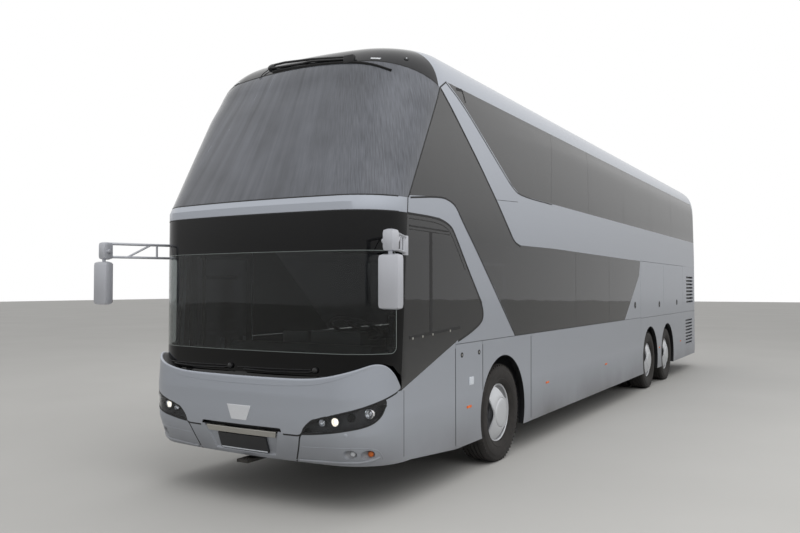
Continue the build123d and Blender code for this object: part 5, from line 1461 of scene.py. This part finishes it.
for points in (((-0.395, 3.945, 0.020), (-0.200, 3.935, 0.026), (0.150, 3.905, 0.026), (0.560, 3.870, 0.020)),
               ((-0.340, 3.905, 0.016), (0.060, 3.880, 0.018), (0.160, 3.880, 0.024), (0.560, 3.845, 0.020))):
    tube_into(form, stood_off(points), 0.011, 10)
stand_on(form, ((0.0, -0.004), (0.040, -0.004), (0.038, 0.026), (0.024, 0.034), (0.0, 0.036)),
         (-0.365, AHEAD, 3.925), TO_REAR)
spot = on_skin((0.575, AHEAD, 3.855), TO_REAR)[0]
box_into(form, spot + Vector((-0.055, -0.042, -0.040)), spot + Vector((0.055, 0.004, 0.036)), 0.012)
blade = in_front(((-0.300, 3.860), (0.100, 3.858), (0.560, 3.828), (0.800, 3.782), (0.985, 3.705)))
lay_strip(form, eased(blade), TO_REAR, 0.022, 0.018, finish=1, step=0.03)
tube_into(form, stood_off(((-0.446, 3.815, 0.006), (-0.430, 3.860, 0.010), (-0.380, 3.905, 0.014))), 0.004, 8,
          finish=1)
wipers = finished("wiper_arms_and_blades", form, "body", "black_plastic", coated_black, gasket)
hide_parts("wipers")

# Mirrors
# Cast aluminium truss arms in silver lacquer, hung from each upper corner of the lower screen, with an
# elbow at the end and a moulded housing below it that holds the glass facing the rear.
mirror_glass = mottled("silvered_mirror_glass", "dfe2e4", "e8eaec", 0.05, 0.02, metallic=1.0, spread=0.02)
HEAD_X = (1.475, 1.655)
HEAD_Y = (-7.118, -7.026)
HEAD_Z = (1.654, 2.054)
ARM_ROOT = Vector((1.282, -6.385, 0))
ARM_END = Vector((1.555, -7.040, 0))
ARM_LEVELS = (2.098, 2.222)


def at(hand, share, height):
    """Point at some share of a mirror arm's length and at some height."""
    spot = ARM_ROOT.lerp(ARM_END, share)
    return Vector((hand * spot.x, spot.y, height))


def handed_box(form, hand, low, high, edge, finish=0):
    """Adds a box that is given for the left side, on the side asked for."""
    low_x, high_x = sorted((hand * low[0], hand * high[0]))
    box_into(form, (low_x, *low[1:]), (high_x, *high[1:]), edge, finish)


for name, hand in (("left", 1), ("right", -1)):
    form = bmesh.new()
    for height, radius in ((ARM_LEVELS[1], 0.013), (ARM_LEVELS[0], 0.012)):
        tube_into(form, (at(hand, 0, height), at(hand, 1, height)), radius, 12)
    for start, end in ((0.13, 0.13), (0.34, 0.34), (0.42, 0.74)):
        tube_into(form, (at(hand, start, ARM_LEVELS[1]), at(hand, end, ARM_LEVELS[0])), 0.010, 10)
    # Root plate on the coach's corner, and the elbow's housing
    handed_box(form, hand, (1.276, -6.425, 2.075), (1.292, -6.345, 2.236), 0.005)
    handed_box(form, hand, (1.508, -7.108, 2.072), (1.602, -7.000, 2.236), 0.032)
    turn_into(form, ((0.0, 0.0), (0.017, 0.0), (0.020, 0.010), (0.016, 0.022), (0.0, 0.027)),
              (hand * 1.510, -7.060, 2.150), (-hand, 0, 0), 20)
    tube_into(form, ((hand * 1.560, -7.070, 2.075), (hand * 1.560, -7.070, 2.030)), 0.016, 14)
    # The housing, and in its rear face the glass in its black surround
    handed_box(form, hand, *zip(HEAD_X, HEAD_Y, HEAD_Z), 0.034)
    for inset, sunk, proud, edge, finish in ((0.012, 0.010, 0.0015, 0.006, 1), (0.018, 0.004, 0.003, 0.003, 2)):
        handed_box(form, hand, (HEAD_X[0] + inset, HEAD_Y[1] - sunk, HEAD_Z[0] + inset + 0.006),
                   (HEAD_X[1] - inset, HEAD_Y[1] + proud, HEAD_Z[1] - inset - 0.006), edge, finish)
    mirror = finished("mirror_" + name, form, "body", "body_paint", pale_lacquer, moulded_black, mirror_glass)
    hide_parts("mirrors")

# Rear end
# Stacked round lamps in black panels beside the engine lid, a high brake lamp over the window, a blank
# plate holder and a handle on the lid.
dress(smooth_copy("tail_lamps", "tail_lamp_panels"), "tail_lamps", "lamp_red", gloss_black)
TAIL_STACK = ((1.630, 1), (1.470, 0), (1.310, 0), (1.150, 2), (0.990, 0))
form = bmesh.new()
for hand in BOTH:
    for z, finish in TAIL_STACK:
        spot = (hand * 1.055, BEHIND, z)
        stand_on(form, ((0.0, -0.003), (0.066, -0.003), (0.066, 0.004), (0.060, 0.008), (0.0, 0.008)), spot,
                 TO_FRONT, 32, 3)
        stand_on(form, ((0.0, 0.007), (0.054, 0.008), (0.050, 0.013), (0.030, 0.018), (0.0, 0.020)), spot,
                 TO_FRONT, 32, finish)
lay_patch(form, [(x, BEHIND, z) for x, z in ((-0.30, 3.640), (0.30, 3.640), (0.30, 3.605), (-0.30, 3.605))],
          TO_FRONT, 0.006, 0.002, cells=(10, 1))
finished("tail_lamp_lenses", form, "body", "lamp_red", red_lens, amber, white_lens, chrome)
LID_PRESSING = ((-0.31, 0.98), (0.31, 0.98), (0.31, 0.80), (-0.31, 0.80))
lid_corners = [(x, BEHIND, z) for x, z in LID_PRESSING]
lid_skin = min(on_skin(corner, TO_FRONT)[0].y for corner in lid_corners)
cut(painted["engine_lid"],
    cutter_between("lid_opening", *([(x, y, z) for x, z in LID_PRESSING] for y in (7.3, 6.95))), silver)
form = bmesh.new()
pressed_into(form, lid_corners, TO_FRONT, 0.024, 0.012, finish=2)
box_into(form, (-0.262, lid_skin - 0.0225, 0.822), (0.262, lid_skin - 0.010, 0.958), 0.003)
box_into(form, (-0.10, lid_skin - 0.0225, 0.962), (0.10, lid_skin - 0.006, 0.976), 0.003, finish=1)
finished("lid_plate_holder", form, "engine_lid_body", "black_plastic", moulded_black, brushed, silver)

# Roof
# Two escape hatches lie flush in the roof skin behind rubber joints, and small marker lamps and a light
# sensor stand on the dome's corners.
form = bmesh.new()
for y in (-2.6, 3.2):
    loop = [(-0.38, y - 0.30), (0.38, y - 0.30), (0.38, y + 0.30), (-0.38, y + 0.30), (-0.38, y - 0.30)]
    lay_strip(form, [(x, at_y, 5) for x, at_y in loop], (0, 0, -1), 0.018, -0.0002, sink=0.004)
finished("roof_hatch_joints", form, "body", "black_plastic", gasket)
form = bmesh.new()
for hand in BOTH:
    lay_patch(form, in_front(((0.775, 3.850), (0.860, 3.840), (0.860, 3.826), (0.775, 3.836)), hand), TO_REAR,
              0.005, 0.001, cells=(4, 1))
    spot = (hand * 1.040, AHEAD, 3.842)
    stand_on(form, ((0.0, -0.003), (0.024, -0.003), (0.021, 0.006), (0.010, 0.009), (0.0, 0.009)), spot, TO_REAR,
             20, 1)
    stand_on(form, ((0.0, 0.0), (0.008, 0.0), (0.007, 0.0105), (0.0, 0.0115)), spot, TO_REAR, 16)
finished("dome_marker_lamps", form, "body", "lamp", white_lens, moulded_black)
